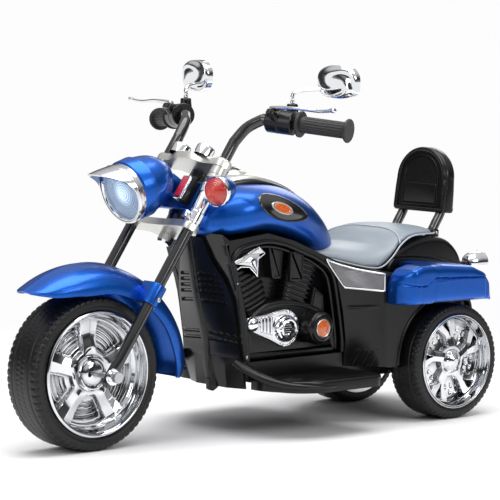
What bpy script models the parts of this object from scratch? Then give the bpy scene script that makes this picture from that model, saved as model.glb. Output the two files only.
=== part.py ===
"""A child's battery ride-on chopper on three wheels: moulded body, steel fork and bars.

Metres. +X is forward, +Y is the rider's left, +Z is up. The ground is z = 0, and the
origin is the bottom centre of the whole machine, with the steering straight ahead.
Places along the machine are given as distances behind the front axle (a negative
number is behind it), and places on the fork by how far up the leg they are.
"""
import math

import bmesh
import bpy
from mathutils import Vector

# ---- driving dimensions -------------------------------------------------------------
FRONT_WHEEL_R = 0.127           # a 10 in wheel
REAR_WHEEL_R = 0.1015           # an 8 in wheel
WHEELBASE = 0.7027
TUBE_R = 0.0095                 # 19 mm steel tube: fork legs and handlebars
FORK_HALF = 0.0738              # centre plane to a fork leg
RAKE = math.radians(34.9)       # fork, from upright
STEM_SETBACK = 0.022            # steering stem, behind the plane of the legs
REAR_TRACK_HALF = 0.125         # centre plane to the middle of a rear wheel
BODY_HALF = 0.080               # half width of the body at the engine
REAR_HALF = 0.085               # half width of the body between the rear wheels
FRONT_AXLE_X = 0.3715           # puts the origin half way along the machine
GAP = 0.0004                    # clearance left between touching parts
WALL = 0.004                    # moulded wall
AXLE_R = 0.005                  # 10 mm axles
BORE = 0.0004                   # radial clearance of a bore over its shaft

REAR_AXLE_X = FRONT_AXLE_X - WHEELBASE
UP = Vector((-math.sin(RAKE), 0, math.cos(RAKE)))       # along a fork leg
AHEAD = Vector((math.cos(RAKE), 0, math.sin(RAKE)))     # square to the fork, forward

# ---- finishes -----------------------------------------------------------------------
FINISHES = {
    "blue_paint": ((0.010, 0.060, 0.420), 0.28, 0.3),
    "black_plastic": ((0.018, 0.018, 0.020), 0.45, 0.0),
    "black_steel": ((0.012, 0.012, 0.013), 0.25, 0.4),
    "chrome": ((0.80, 0.80, 0.82), 0.08, 1.0),
    "silver": ((0.62, 0.62, 0.60), 0.30, 0.8),
    "tyre": ((0.020, 0.020, 0.022), 0.65, 0.0),
    "seat_grey": ((0.30, 0.34, 0.38), 0.45, 0.0),
    "red_lens": ((0.55, 0.010, 0.010), 0.12, 0.0),
    "clear_lens": ((0.75, 0.82, 0.95), 0.05, 0.0),
    "rubber": ((0.015, 0.015, 0.016), 0.60, 0.0),
    "zinc_steel": ((0.45, 0.45, 0.46), 0.35, 1.0),
    "battery_case": ((0.06, 0.06, 0.07), 0.40, 0.0),
    "gearbox_white": ((0.70, 0.70, 0.68), 0.40, 0.0),
}

# ---- helpers ------------------------------------------------------------------------


def clear_scene():
    for old in list(bpy.data.objects):
        bpy.data.objects.remove(old, do_unlink=True)


def at(behind, y, z):
    """A point given by its distance ahead of the front axle (negative is behind)."""
    return Vector((FRONT_AXLE_X + behind, y, z))


def on_fork(s, n=0.0, y=0.0):
    """A point s up the fork from the axle, n ahead of the legs' plane."""
    return Vector((FRONT_AXLE_X, y, FRONT_WHEEL_R)) + UP * s + AHEAD * n


def flip(point, side):
    return Vector((point[0], point[1] * side, point[2]))


def material(finish):
    found = bpy.data.materials.get(finish)
    if found:
        return found
    colour, roughness, metallic = FINISHES[finish]
    made = bpy.data.materials.new(finish)
    made.use_nodes = True
    shader = made.node_tree.nodes["Principled BSDF"]
    shader.inputs["Base Color"].default_value = (*colour, 1.0)
    shader.inputs["Roughness"].default_value = roughness
    shader.inputs["Metallic"].default_value = metallic
    return made


def solid(name, verts, faces, finish):
    """One closed body from points and faces, with its faces turned outwards."""
    bm = bmesh.new()
    made = [bm.verts.new(v) for v in verts]
    for face in faces:
        bm.faces.new([made[i] for i in face])
    bmesh.ops.remove_doubles(bm, verts=bm.verts, dist=1e-6)
    bmesh.ops.dissolve_degenerate(bm, dist=1e-7, edges=bm.edges)
    bmesh.ops.recalc_face_normals(bm, faces=bm.faces)
    mesh = bpy.data.meshes.new(name)
    bm.to_mesh(mesh)
    bm.free()
    mesh.shade_smooth()
    mesh.set_sharp_from_angle(angle=math.radians(35))
    obj = bpy.data.objects.new(name, mesh)
    bpy.context.scene.collection.objects.link(obj)
    mesh.materials.append(material(finish))
    return obj


def loft(name, rings, finish, closed=False):
    """A body through rings of equal count: capped at both ends, or closed round."""
    count = len(rings[0])
    verts = [p for ring in rings for p in ring]
    faces = []
    spans = len(rings) if closed else len(rings) - 1
    for r in range(spans):
        a, b = r * count, ((r + 1) % len(rings)) * count
        faces += [(a + i, a + (i + 1) % count, b + (i + 1) % count, b + i) for i in range(count)]
    if not closed:
        faces.append(tuple(range(count)))
        last = (len(rings) - 1) * count
        faces.append(tuple(last + i for i in reversed(range(count))))
    return solid(name, verts, faces, finish)


def prism(name, outline, low, high, finish, axis="y", side=1):
    """An outline pushed out along Y (outline in behind, z) or Z (outline in behind, y)."""
    if axis == "y":
        rings = [[at(b, side * d, z) for b, z in outline] for d in (low, high)]
    else:
        rings = [[at(b, side * y, d) for b, y in outline] for d in (low, high)]
    return loft(name, rings, finish)


def fork_block(name, outline, low, high, finish, y_shift=0.0):
    """An outline in (n, y), pushed out along the fork from s = low to s = high."""
    return loft(name, [[on_fork(s, n, y + y_shift) for n, y in outline] for s in (low, high)],
                finish)


def turned(name, profile, centre, axis, finish, sides=24, hollow=False):
    """A profile of (along, radius) turned about an axis; hollow profiles are closed loops."""
    axis = Vector(axis).normalized()
    first = axis.orthogonal().normalized() if abs(axis.y) < 0.99 else Vector((0, 0, 1))
    second = axis.cross(first)
    verts, faces = [], []
    count = len(profile)
    for k in range(sides):
        turn = 2 * math.pi * (k + 0.5) / sides
        out = first * math.cos(turn) + second * math.sin(turn)
        verts += [Vector(centre) + axis * a + out * r for a, r in profile]
    for k in range(sides):
        a, b = k * count, ((k + 1) % sides) * count
        steps = count if hollow else count - 1
        for i in range(steps):
            j = (i + 1) % count
            quad = [a + i, a + j, b + j, b + i]
            if profile[i][1] == 0.0 and profile[j][1] == 0.0:
                continue
            if profile[i][1] == 0.0:
                quad = [a + i, a + j, b + j]
            elif profile[j][1] == 0.0:
                quad = [a + i, a + j, b + i]
            faces.append(tuple(quad))
    return solid(name, verts, faces, finish)


def rod(name, start, end, radius, finish, sides=16):
    length = (Vector(end) - Vector(start)).length
    profile = [(0, 0.0), (0, radius), (length, radius), (length, 0.0)]
    return turned(name, profile, start, Vector(end) - Vector(start), finish, sides)


def swept(name, points, radii, finish, sides=12, flat=1.0):
    """A round bar along points; flat squeezes it along Z."""
    rings = []
    reference = Vector((0, 0, 1))
    for i, point in enumerate(points):
        before = points[max(i - 1, 0)]
        after = points[min(i + 1, len(points) - 1)]
        along = (after - before).normalized()
        across = along.cross(reference).normalized()
        lift = across.cross(along).normalized()
        radius = radii[i] if isinstance(radii, list) else radii
        ring = []
        for k in range(sides):
            turn = 2 * math.pi * k / sides
            ring.append(point + across * radius * math.cos(turn)
                        + lift * radius * flat * math.sin(turn))
        rings.append(ring)
    return loft(name, rings, finish)


def smooth_path(points, per_span=6):
    """Points on a Catmull-Rom curve through the given ones."""
    points = [Vector(p) for p in points]
    ends = [points[0] * 2 - points[1]] + points + [points[-1] * 2 - points[-2]]
    path = []
    for i in range(1, len(ends) - 2):
        p0, p1, p2, p3 = ends[i - 1:i + 3]
        for k in range(per_span):
            t = k / per_span
            path.append(0.5 * (2 * p1 + (p2 - p0) * t + (2 * p0 - 5 * p1 + 4 * p2 - p3) * t * t
                               + (3 * p1 - 3 * p2 + p3 - p0) * t ** 3))
    path.append(points[-1])
    return path


def arc(cx, cz, radius, start, end, steps):
    """Points of an arc, in degrees, from start to end."""
    points = []
    for k in range(steps + 1):
        turn = math.radians(start + (end - start) * k / steps)
        points.append((cx + radius * math.cos(turn), cz + radius * math.sin(turn)))
    return points


def level(points, x):
    """Height of a broken line of (x, height) points at x; points run in falling x."""
    if x >= points[0][0]:
        return points[0][1]
    for (x0, h0), (x1, h1) in zip(points, points[1:]):
        if x >= x1:
            return h0 + (h1 - h0) * (x - x0) / (x1 - x0)
    return points[-1][1]


def boolean(target, tool, operation="DIFFERENCE"):
    """Cuts or joins, with the tool kept as a hidden guide."""
    tool.hide_render = True
    tool.display_type = "WIRE"
    change = target.modifiers.new(operation.title(), "BOOLEAN")
    change.operation = operation
    change.object = tool


def bevel(obj, width, segments=1, angle=35):
    change = obj.modifiers.new("Bevel", "BEVEL")
    change.width = width
    change.segments = segments
    change.limit_method = "ANGLE"
    change.angle_limit = math.radians(angle)


def shifted(line, by):
    return [(x, z + by) for x, z in line]


# ---- wheels -------------------------------------------------------------------------
FRONT_HALF_WIDTH = 0.0415
REAR_HALF_WIDTH = 0.0340
FRONT_BEAD_R = 0.0950           # where the tyre sits on the rim
REAR_BEAD_R = 0.0745
WHEEL_SIDES = 32


def tyre(name, centre, radius, bead, half):
    """A tyre with a flat tread; its facets are square to the ground."""
    rim = radius / math.cos(math.pi / WHEEL_SIDES)
    profile = [(-half, bead), (-half, rim - 0.016), (-half * 0.97, rim - 0.007),
               (-half * 0.80, rim - 0.0012), (-half * 0.5, rim), (half * 0.5, rim),
               (half * 0.80, rim - 0.0012), (half * 0.97, rim - 0.007), (half, rim - 0.016),
               (half, bead)]
    return turned(name, profile, centre, (0, 1, 0), "tyre", WHEEL_SIDES, hollow=True)


def wheel_rim(name, centre, bead, half, dish, faces_out):
    """A dished rim with five windows; faces_out gives the sides that show (+1, -1)."""
    lip = bead + 0.0085
    seat_r = bead - GAP
    bore = AXLE_R + BORE
    edge = half + GAP
    flange = edge + 0.002
    hub = half * 0.55
    disc = 0.010                # thickness of the web between hub and rim
    if len(faces_out) == 2:
        web_low, web_high = -disc, disc
    else:
        out = faces_out[0]
        web_low, web_high = sorted((out * (edge - dish), out * (edge - dish - disc)))
    inner = seat_r - 0.006
    profile = [(-edge, seat_r), (-edge, lip), (-flange, lip), (-flange, inner),
               (web_low, inner - 0.004), (web_low, 0.022), (-hub, 0.018), (-hub, bore),
               (hub, bore), (hub, 0.018), (web_high, 0.022), (web_high, inner - 0.004),
               (flange, inner), (flange, lip), (edge, lip), (edge, seat_r)]
    rim = turned(name, profile, centre, (0, 1, 0), "chrome", WHEEL_SIDES, hollow=True)
    spread = math.radians(19)
    corners = ((0.030, -0.55), (0.030, 0.55), (inner - 0.012, 1.0), (inner - 0.012, -1.0))
    for k in range(5):
        turn = math.radians(90 + 72 * (k + 0.5))
        outline = [(math.cos(turn + part * spread) * radius, math.sin(turn + part * spread) * radius)
                   for radius, part in corners]
        rings = [[Vector(centre) + Vector((a, d, b)) for a, b in outline] for d in (-0.06, 0.06)]
        boolean(rim, loft(name + "_window_%d" % k, rings, "chrome"))
    return rim


def build_wheels():
    front = at(0, 0, FRONT_WHEEL_R)
    tyre("front_tyre", front, FRONT_WHEEL_R, FRONT_BEAD_R, FRONT_HALF_WIDTH)
    wheel_rim("front_rim", front, FRONT_BEAD_R, FRONT_HALF_WIDTH, 0.03, (1, -1))
    for side, word in ((1, "left"), (-1, "right")):
        centre = Vector((REAR_AXLE_X, side * REAR_TRACK_HALF, REAR_WHEEL_R))
        tyre("rear_tyre_" + word, centre, REAR_WHEEL_R, REAR_BEAD_R, REAR_HALF_WIDTH)
        wheel_rim("rear_rim_" + word, centre, REAR_BEAD_R, REAR_HALF_WIDTH, 0.022, (side,))
    reach = FORK_HALF + TUBE_R + 0.004
    profile = [(-reach - 0.008, 0.0), (-reach - 0.008, 0.009), (-reach, 0.009), (-reach, AXLE_R),
               (reach, AXLE_R), (reach, 0.009), (reach + 0.008, 0.009), (reach + 0.008, 0.0)]
    turned("front_axle", profile, front, (0, 1, 0), "zinc_steel", 12)
    end = REAR_TRACK_HALF + REAR_HALF_WIDTH * 0.55 + 0.010
    profile = [(-end, 0.0), (-end, 0.009), (-end + 0.008, 0.009), (-end + 0.008, AXLE_R),
               (end - 0.008, AXLE_R), (end - 0.008, 0.009), (end, 0.009), (end, 0.0)]
    turned("rear_axle", profile, (REAR_AXLE_X, 0, REAR_WHEEL_R), (0, 1, 0), "zinc_steel", 12)


# ---- fork, yokes and handlebars -----------------------------------------------------
LEG_LOW, LEG_TOP = -0.020, 0.3715
LOWER_YOKE = (0.277, 0.291)
UPPER_YOKE = (0.398, 0.412)
GRIP_END = Vector((-0.3583, 0.2474, 0.5202))
GRIP_ALONG = Vector((-0.385, 0.918, -0.096)).normalized()
GRIP_LENGTH = 0.086
HOUSING = (0.100, 0.148)        # distance in from the end of the bar


def bar_point(inward, side=1):
    """A point on a handlebar's straight end, measured in from its tip."""
    point = GRIP_END - GRIP_ALONG * inward
    return at(point.x, side * point.y, point.z)


def yoke_outline(ahead, behind, half):
    """A rounded plate in (n, y), wide at the legs."""
    points = []
    for cy, sign in ((FORK_HALF, 1), (-FORK_HALF, -1)):
        lobe = half - FORK_HALF
        for k in range(7):
            turn = math.radians(180 * k / 6)
            points.append((lobe * math.cos(turn) * sign, cy + sign * lobe * math.sin(turn)))
        waist = 0.045
        points += [(-behind * sign if sign > 0 else ahead, sign * waist)]
        points += [(-behind * sign if sign > 0 else ahead, -sign * waist)]
    return points


def build_fork():
    for side, word in ((1, "left"), (-1, "right")):
        leg = rod("fork_leg_" + word, on_fork(LEG_LOW, 0, side * FORK_HALF),
                  on_fork(LEG_TOP, 0, side * FORK_HALF), TUBE_R, "black_steel")
        drill = rod("axle_hole_" + word, at(0, side * 0.05, FRONT_WHEEL_R),
                    at(0, side * 0.10, FRONT_WHEEL_R), AXLE_R + BORE, "black_steel", 12)
        boolean(leg, drill)
        rise = on_fork(LEG_TOP + GAP, 0, side * FORK_HALF)
        knee = on_fork(0.452, 0, side * FORK_HALF)
        bend = (knee + bar_point(0.158, side)) / 2 + Vector((-0.001, -side * 0.006, 0.004))
        path = [rise, on_fork(0.42, 0, side * FORK_HALF)]
        path += smooth_path([knee, bend, bar_point(0.158, side)], 4)
        path += [bar_point(0.10, side), bar_point(0.003, side)]
        swept("handlebar_" + word, path, TUBE_R, "black_steel")

    hole = TUBE_R + BORE
    upper = fork_block("upper_yoke", yoke_outline(0.030, 0.036, 0.090), *UPPER_YOKE, "silver")
    lower = fork_block("lower_yoke", yoke_outline(0.012, 0.036, 0.090), *LOWER_YOKE, "silver")
    for side, word in ((1, "left"), (-1, "right")):
        for yoke, low, high in ((upper, 0.374, 0.406), (lower, 0.284, 0.312)):
            start = on_fork(low, 0, side * FORK_HALF)
            collar = rod(yoke.name + "_collar_" + word, start,
                         on_fork(high, 0, side * FORK_HALF), 0.0142, "silver", 20)
            boolean(yoke, collar, "UNION")
        cup = rod("riser_cup_" + word, on_fork(0.405, 0.013, side * 0.031),
                  on_fork(0.430, 0.013, side * 0.031), 0.0165, "silver", 20)
        boolean(upper, cup, "UNION")
    for side, word in ((1, "left"), (-1, "right")):
        for yoke in (upper, lower):
            drill = rod(yoke.name + "_bore_" + word, on_fork(0.25, 0, side * FORK_HALF),
                        on_fork(0.46, 0, side * FORK_HALF), hole, "silver", 16)
            boolean(yoke, drill)
    for yoke in (upper, lower):
        drill = rod(yoke.name + "_stem_bore", on_fork(0.25, -STEM_SETBACK),
                    on_fork(0.46, -STEM_SETBACK), 0.008 + BORE, "silver", 16)
        boolean(yoke, drill)
    profile = [(0.264, 0.0), (0.264, 0.012), (LOWER_YOKE[0] - GAP, 0.012),
               (LOWER_YOKE[0] - GAP, 0.008), (UPPER_YOKE[1] + GAP, 0.008),
               (UPPER_YOKE[1] + GAP, 0.012), (0.420, 0.012), (0.420, 0.0)]
    turned("steering_stem", profile, on_fork(0, -STEM_SETBACK), UP, "zinc_steel", 16)


def build_bar_ends():
    for side, word in ((1, "left"), (-1, "right")):
        outward = Vector((GRIP_ALONG.x, side * GRIP_ALONG.y, GRIP_ALONG.z))
        bore = TUBE_R + BORE
        tip = bar_point(0, side)
        near = -GRIP_LENGTH
        grip = [(near - 0.006, bore), (near - 0.006, 0.0220), (near, 0.0220), (near, 0.0135),
                (-0.005, 0.0135), (-0.005, 0.0200), (0.0, 0.0200), (0.0, 0.0),
                (-0.0025, 0.0), (-0.0025, bore)]
        turned("grip_" + word, grip, tip, outward, "rubber", 18, hollow=True)
        low, high = HOUSING
        housing = [(-high, bore), (-high, 0.0185), (-high + 0.004, 0.0205),
                   (-low - 0.004, 0.0205), (-low, 0.0185), (-low, bore)]
        box = turned("switch_housing_" + word, housing, tip, outward, "black_plastic", 16,
                     hollow=True)
        middle = bar_point((low + high) / 2, side)
        boss = rod("mirror_boss_" + word, mirror_foot(side) - Vector((0, 0, 0.024)),
                   mirror_foot(side), 0.0095, "black_plastic", 14)
        boolean(box, boss, "UNION")
        pivot = lever_pivot(side)
        ear = rod("lever_ear_" + word, pivot - UP * 0.0125, pivot - UP * 0.0045, 0.009,
                  "black_plastic", 14)
        link = swept("lever_arm_" + word, [middle + AHEAD * 0.010, pivot - UP * 0.0085],
                     0.0055, "black_plastic", 8, 0.6)
        boolean(box, ear, "UNION")
        boolean(box, link, "UNION")
        clear = rod("bar_bore_" + word, bar_point(high + 0.02, side), bar_point(low - 0.02, side),
                    bore, "black_plastic", 16)
        boolean(box, clear)


# ---- controls -----------------------------------------------------------------------
LEVER_TIP = Vector((-0.3065, 0.2680, 0.5560))


def lever_pivot(side):
    return bar_point(0.122, side) + AHEAD * 0.030 + UP * 0.006


def mirror_foot(side):
    return bar_point(0.118, side) + Vector((-0.016, 0, 0.030))


def build_controls():
    for side, word in ((1, "left"), (-1, "right")):
        pivot = lever_pivot(side)
        tip = at(LEVER_TIP.x, side * LEVER_TIP.y, LEVER_TIP.z)
        third = pivot.lerp(tip, 0.30) + AHEAD * 0.004
        far = pivot.lerp(tip, 0.72) - AHEAD * 0.004
        path = smooth_path([pivot + Vector((0, -side * 0.006, 0)), third, far, tip], 4)
        radii = [0.0042 + 0.0012 * math.cos(2 * math.pi * k / (len(path) - 1))
                 for k in range(len(path))]
        swept("lever_" + word, path, radii, "chrome", 8, 0.75)

        foot = mirror_foot(side) + Vector((0, 0, GAP))
        head = at(-0.389, side * 0.1835, 0.598)
        sweep = math.radians(8)
        wide = Vector((-math.sin(sweep), side * math.cos(sweep), 0))
        high = Vector((0, 0, 1))
        back = wide.cross(high) * side
        inner = head - wide * 0.030 - high * 0.012 + back * 0.004
        stem = swept("mirror_" + word, smooth_path(
            [foot, foot + Vector((-0.006, side * 0.002, 0.020)), inner], 4),
            0.0036, "chrome", 8)
        rings = []
        for depth, size in ((-0.009, 0.97), (-0.004, 1.0), (0.004, 0.93), (0.009, 0.62)):
            ring = []
            for k in range(20):
                turn = 2 * math.pi * k / 20
                c, s = math.cos(turn), math.sin(turn)
                y = math.copysign(abs(c) ** 0.75, c) * 0.0425 * size
                z = math.copysign(abs(s) ** 0.75, s) * 0.0280 * size
                ring.append(head + wide * y + high * z + back * depth)
            rings.append(ring)
        boolean(stem, loft("mirror_shell_" + word, rings, "chrome"), "UNION")

    toe, heel = BOARD_TOP + 0.017, BOARD_TOP + 0.008
    pedal = [(-0.352, toe), (-0.412, heel), (-0.412, BOARD_TOP + 0.001), (-0.352, toe - 0.010)]
    bevel(prism("foot_pedal", pedal, 0.112, 0.148, "rubber", side=-1), 0.002)
    key = [(-0.571, 0.196), (-0.589, 0.196), (-0.589, 0.210), (-0.571, 0.210)]
    switch = prism("power_switch", key, ARCH_HALF - 0.0025, ARCH_HALF + 0.0025, "black_plastic",
                   side=-1)
    bevel(switch, 0.001)


# ---- lamps --------------------------------------------------------------------------
LAMP_CENTRE = (-0.079, 0.414)   # middle of the headlight's lens: behind the axle, height
LAMP_DIP = math.radians(17.8)
LAMP_R = 0.0520


def build_headlight():
    centre = at(LAMP_CENTRE[0], 0, LAMP_CENTRE[1])
    beam = Vector((math.cos(LAMP_DIP), 0, -math.sin(LAMP_DIP)))
    outer = [(-0.104, 0.0), (-0.101, 0.014), (-0.088, 0.031), (-0.066, 0.0445), (-0.040, 0.0512),
             (-0.012, LAMP_R), (-0.012, LAMP_R - 0.0022)]
    inner = [(-0.040, 0.0486), (-0.066, 0.0418), (-0.088, 0.028), (-0.099, 0.010), (-0.101, 0.0)]
    turned("headlight_shell", outer + inner, centre, beam, "blue_paint", 28)
    grown = [(a - 0.0006 if r == 0.0 else a, r + 0.0006 if r else 0.0) for a, r in outer]
    turned("headlight_room", grown + [(-0.012, 0.0)], centre, beam, "blue_paint", 28)
    bpy.data.objects["headlight_room"].hide_render = True
    lens = [(-0.011, 0.0), (-0.011, 0.0448), (-0.003, 0.0448), (0.001, 0.030), (0.002, 0.0)]
    turned("headlight_lens", lens, centre, beam, "clear_lens", 28)

    lift = Vector((math.sin(LAMP_DIP), 0, math.cos(LAMP_DIP)))
    wide = Vector((0, 1, 0))
    rings = []
    steps = 32
    ring_out, ring_in = LAMP_R - 0.0026, LAMP_R - 0.0064
    for k in range(steps):
        turn = 2 * math.pi * k / steps
        out = lift * math.cos(turn) + wide * math.sin(turn)
        peak = 0.004 + 0.046 * max(math.cos(turn), 0.0) ** 2.2
        flare = 0.0035 * peak / 0.05
        rings.append([centre + beam * -0.012 + out * ring_out,
                      centre + beam * peak + out * (ring_out + flare),
                      centre + beam * peak + out * (ring_in + flare),
                      centre + beam * -0.012 + out * ring_in])
    loft("headlight_trim", rings, "chrome", closed=True)


def build_fork_trim():
    half = FORK_HALF - TUBE_R - 0.006
    plate = [(-0.003, half), (-0.003, -half), (0.003, -half * 0.9), (0.003, half * 0.9)]
    cover = fork_block("steering_cover", plate, 0.3150, 0.3700, "blue_paint")
    stalk = fork_block("lamp_stalk", [(0.0, -0.014), (0.0, 0.014), (0.0340, 0.009),
                                      (0.0340, -0.009)], 0.335, 0.366, "blue_paint")
    boolean(cover, stalk, "UNION")
    boolean(cover, bpy.data.objects["headlight_room"])
    for side, word in ((1, "left"), (-1, "right")):
        box = [(0.0034, -0.0105), (0.0034, 0.0105), (0.030, 0.0105), (0.030, -0.0105)]
        fork_block("reflector_" + word, box, 0.322, 0.366, "red_lens", side * 0.040)
        centre = at(-0.185, side * 0.115, 0.421)
        aim = Vector((math.cos(math.radians(10)), side * math.sin(math.radians(10)), -0.12))
        lamp = [(-0.042, 0.0), (-0.040, 0.009), (-0.030, 0.0195), (-0.014, 0.0250),
                (0.000, 0.0265), (0.002, 0.0245), (0.008, 0.0195), (0.013, 0.011), (0.015, 0.0)]
        body = turned("signal_lamp_" + word, lamp, centre, aim, "red_lens", 20)
        leg_side = on_fork(0.3560, 0.002, side * (FORK_HALF + TUBE_R + 0.0007))
        arm = swept("signal_arm_" + word, [leg_side, centre - aim * 0.016], 0.0055,
                    "red_lens", 8)
        boolean(body, arm, "UNION")
        clear = rod("signal_clear_" + word, on_fork(0.30, 0, side * FORK_HALF),
                    on_fork(0.40, 0, side * FORK_HALF), TUBE_R + 0.0005, "red_lens", 16)
        boolean(body, clear)


# ---- front fender -------------------------------------------------------------------


def build_front_fender():
    """An arched shell round the wheel, from its front tip over the top to the rear."""
    stations = [  # angle from straight ahead, crown radius, side radius, half width
        (50, 0.183, 0.1760, 0.030), (56, 0.1800, 0.1560, 0.046), (66, 0.1790, 0.1440, 0.054),
        (80, 0.1785, 0.1330, 0.057), (100, 0.1785, 0.1325, 0.058), (118, 0.1800, 0.1340, 0.058),
        (134, 0.1830, 0.1390, 0.057), (150, 0.1870, 0.1450, 0.056), (166, 0.1915, 0.1500, 0.054),
        (178, 0.1930, 0.1570, 0.050), (187, 0.1850, 0.1650, 0.042)]
    wall = 0.003
    across = 5
    rings = []
    for angle, crown, low, half in stations:
        turn = math.radians(angle)
        out = Vector((math.cos(turn), 0, math.sin(turn)))
        centre = at(0, 0, FRONT_WHEEL_R)
        outer, inner = [], []
        for k in range(-across, across + 1):
            lean = math.radians(90) * k / across
            y = half * math.sin(lean)
            rise = low + (crown - low) * math.cos(lean) ** 0.75
            outer.append(centre + out * rise + Vector((0, y, 0)))
            inner.append(centre + out * (rise - wall * (0.25 + 0.75 * math.cos(lean)))
                         + Vector((0, y * (1 - wall / half), 0)))
        rings.append(outer + inner[::-1])
    fender = loft("front_fender", rings, "blue_paint")
    for side, word in ((1, "left"), (-1, "right")):
        block = fork_block("fender_clamp_" + word,
                           [(-0.014, side * 0.052), (0.014, side * 0.052),
                            (0.014, side * 0.082), (0.006, side * 0.088),
                            (-0.006, side * 0.088), (-0.014, side * 0.082)],
                           0.135, 0.172, "blue_paint")
        boolean(fender, block, "UNION")
    for side, word in ((1, "left"), (-1, "right")):
        drill = rod("fender_bore_" + word, on_fork(0.08, 0, side * FORK_HALF),
                    on_fork(0.24, 0, side * FORK_HALF), TUBE_R + BORE, "blue_paint", 16)
        boolean(fender, drill)


# ---- body ---------------------------------------------------------------------------
DECK = [(-0.2285, 0.345), (-0.245, 0.334), (-0.330, 0.342), (-0.390, 0.326), (-0.440, 0.305),
        (-0.485, 0.287), (-0.547, 0.262), (-0.585, 0.264), (-0.600, 0.272)]
DOME = [(-0.600, 0.272), (-0.615, 0.288), (-0.650, 0.306), (-0.690, 0.316), (-0.737, 0.3145),
        (-0.768, 0.298), (-0.787, 0.274), (-0.792, 0.2504)]
BODY_FRONT = [(-0.2860, 0.098), (-0.2790, 0.120), (-0.2755, 0.160), (-0.2640, 0.233),
              (-0.2550, 0.267), (-0.2430, 0.298), (-0.2330, 0.330)]
BAY = [(-0.2860, 0.126), (-0.2835, 0.160), (-0.2700, 0.235), (-0.2560, 0.285), (-0.2500, 0.300),
       (-0.2580, 0.314), (-0.2800, 0.3235), (-0.3250, 0.3290), (-0.3650, 0.3225),
       (-0.4050, 0.3080), (-0.4450, 0.290), (-0.478, 0.262), (-0.492, 0.200), (-0.500, 0.150),
       (-0.500, 0.126)]
BAY_FLOOR = 0.045               # engine bay's back wall, from the centre plane
BOARD_TOP = 0.100
BODY_BOTTOM = 0.092
ARCH_HALF = 0.132               # outer face of the panel in front of a rear wheel


def body_outline():
    rear = [(-0.600, 0.250), (-0.790, 0.250), (-0.802, 0.210), (-0.800, 0.120),
            (-0.775, 0.080), (-0.560, 0.080), (-0.520, BODY_BOTTOM)]
    return BODY_FRONT + shifted(DECK, -GAP) + rear + [(-0.290, BODY_BOTTOM)]


def build_body():
    hollow_front = [(-0.292, 0.100), (-0.283, 0.160), (-0.262, 0.267), (-0.240, 0.325),
                    (-0.330, 0.334), (-0.390, 0.318), (-0.480, 0.280), (-0.505, 0.272),
                    (-0.505, 0.100)]
    hollow_rear = [(-0.500, 0.100), (-0.500, 0.272), (-0.547, 0.256), (-0.590, 0.258),
                   (-0.600, 0.244), (-0.786, 0.244), (-0.797, 0.205), (-0.795, 0.125),
                   (-0.772, 0.086), (-0.565, 0.086), (-0.525, 0.097)]
    for side, word in ((1, "left"), (-1, "right")):
        half = prism("body_" + word, body_outline(), GAP, BODY_HALF, "black_plastic", side=side)
        rings = []
        for depth, front in ((BODY_HALF - 0.002, 0.0), (ARCH_HALF, -0.045)):
            arch = [(-0.506 + front, 0.104), (-0.508 + front, 0.200),
                    (-0.530 + front * 0.8, 0.245), (-0.560 + front * 0.5, 0.259),
                    (-0.590, 0.245)]
            arch += [(x - WHEELBASE, z) for x, z in arc(0, REAR_WHEEL_R, 0.1160, 54, -2, 8)]
            rings.append([at(b, side * depth, z) for b, z in arch])
        flare = loft("wheel_arch_" + word, rings, "black_plastic")
        boolean(half, flare, "UNION")
        boolean(half, prism("bay_" + word, BAY, BAY_FLOOR, 0.2, "black_plastic", side=side))
        boolean(half, prism("cavity_front_" + word, hollow_front, -0.01, BAY_FLOOR - WALL,
                            "black_plastic", side=side))
        boolean(half, prism("cavity_rear_" + word, hollow_rear, -0.011, BODY_HALF - WALL,
                            "black_plastic", side=side))
        drill = rod("axle_way_" + word, (REAR_AXLE_X, -side * 0.02, REAR_WHEEL_R),
                    (REAR_AXLE_X, side * 0.2, REAR_WHEEL_R), AXLE_R + BORE, "black_plastic", 12)
        boolean(half, drill)

        if side < 0:
            pocket = [(-0.570, 0.195), (-0.590, 0.195), (-0.590, 0.211), (-0.570, 0.211)]
            boolean(half, prism("switch_pocket", pocket, ARCH_HALF - 0.005, ARCH_HALF + 0.01,
                                "black_plastic", side=side))

        board = [(-0.292, BODY_HALF + GAP), (-0.292, 0.100), (-0.300, 0.122)]
        board += [(b, y) for b, y in arc(-0.372, 0.120, 0.066, 15, 90, 6)]
        board += [(-0.490, 0.186), (-0.503, 0.178), (-0.508, 0.165),
                  (-0.504, 0.134), (-0.504, BODY_HALF + GAP)]
        plate = prism("footboard_" + word, board, 0.080, BOARD_TOP, "black_plastic", "z", side)
        bevel(plate, 0.003, 2, 40)

    rings = []
    for z, rib, edge, width in ((0.335, -0.2195, -0.2260, 0.030), (0.298, -0.2262, -0.2370, 0.041),
                                (0.267, -0.2320, -0.2490, 0.058), (0.233, -0.2390, -0.2580, 0.068),
                                (0.160, -0.2590, -0.2700, 0.071), (0.120, -0.2635, -0.2735, 0.075),
                                (0.080, -0.2720, -0.2850, 0.071)):
        depth = 0.0045
        rings.append([at(rib, 0, z), at(edge, width, z), at(edge - depth, width, z),
                      at(rib - depth, 0, z), at(edge - depth, -width, z), at(edge, -width, z)])
    loft("nose_cover", rings, "black_plastic")

    dome = [(-0.600, 0.2504)] + shifted(DOME, -GAP)
    fender = prism("rear_fender", dome, -REAR_HALF, REAR_HALF, "black_plastic")
    inside = [(-0.606, 0.24), (-0.606, 0.270), (-0.652, 0.300), (-0.690, 0.310), (-0.735, 0.308),
              (-0.762, 0.294), (-0.780, 0.272), (-0.784, 0.24)]
    boolean(fender, prism("rear_fender_hollow", inside, -REAR_HALF + WALL, REAR_HALF - WALL,
                          "black_plastic"))


# ---- engine dress -------------------------------------------------------------------


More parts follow.
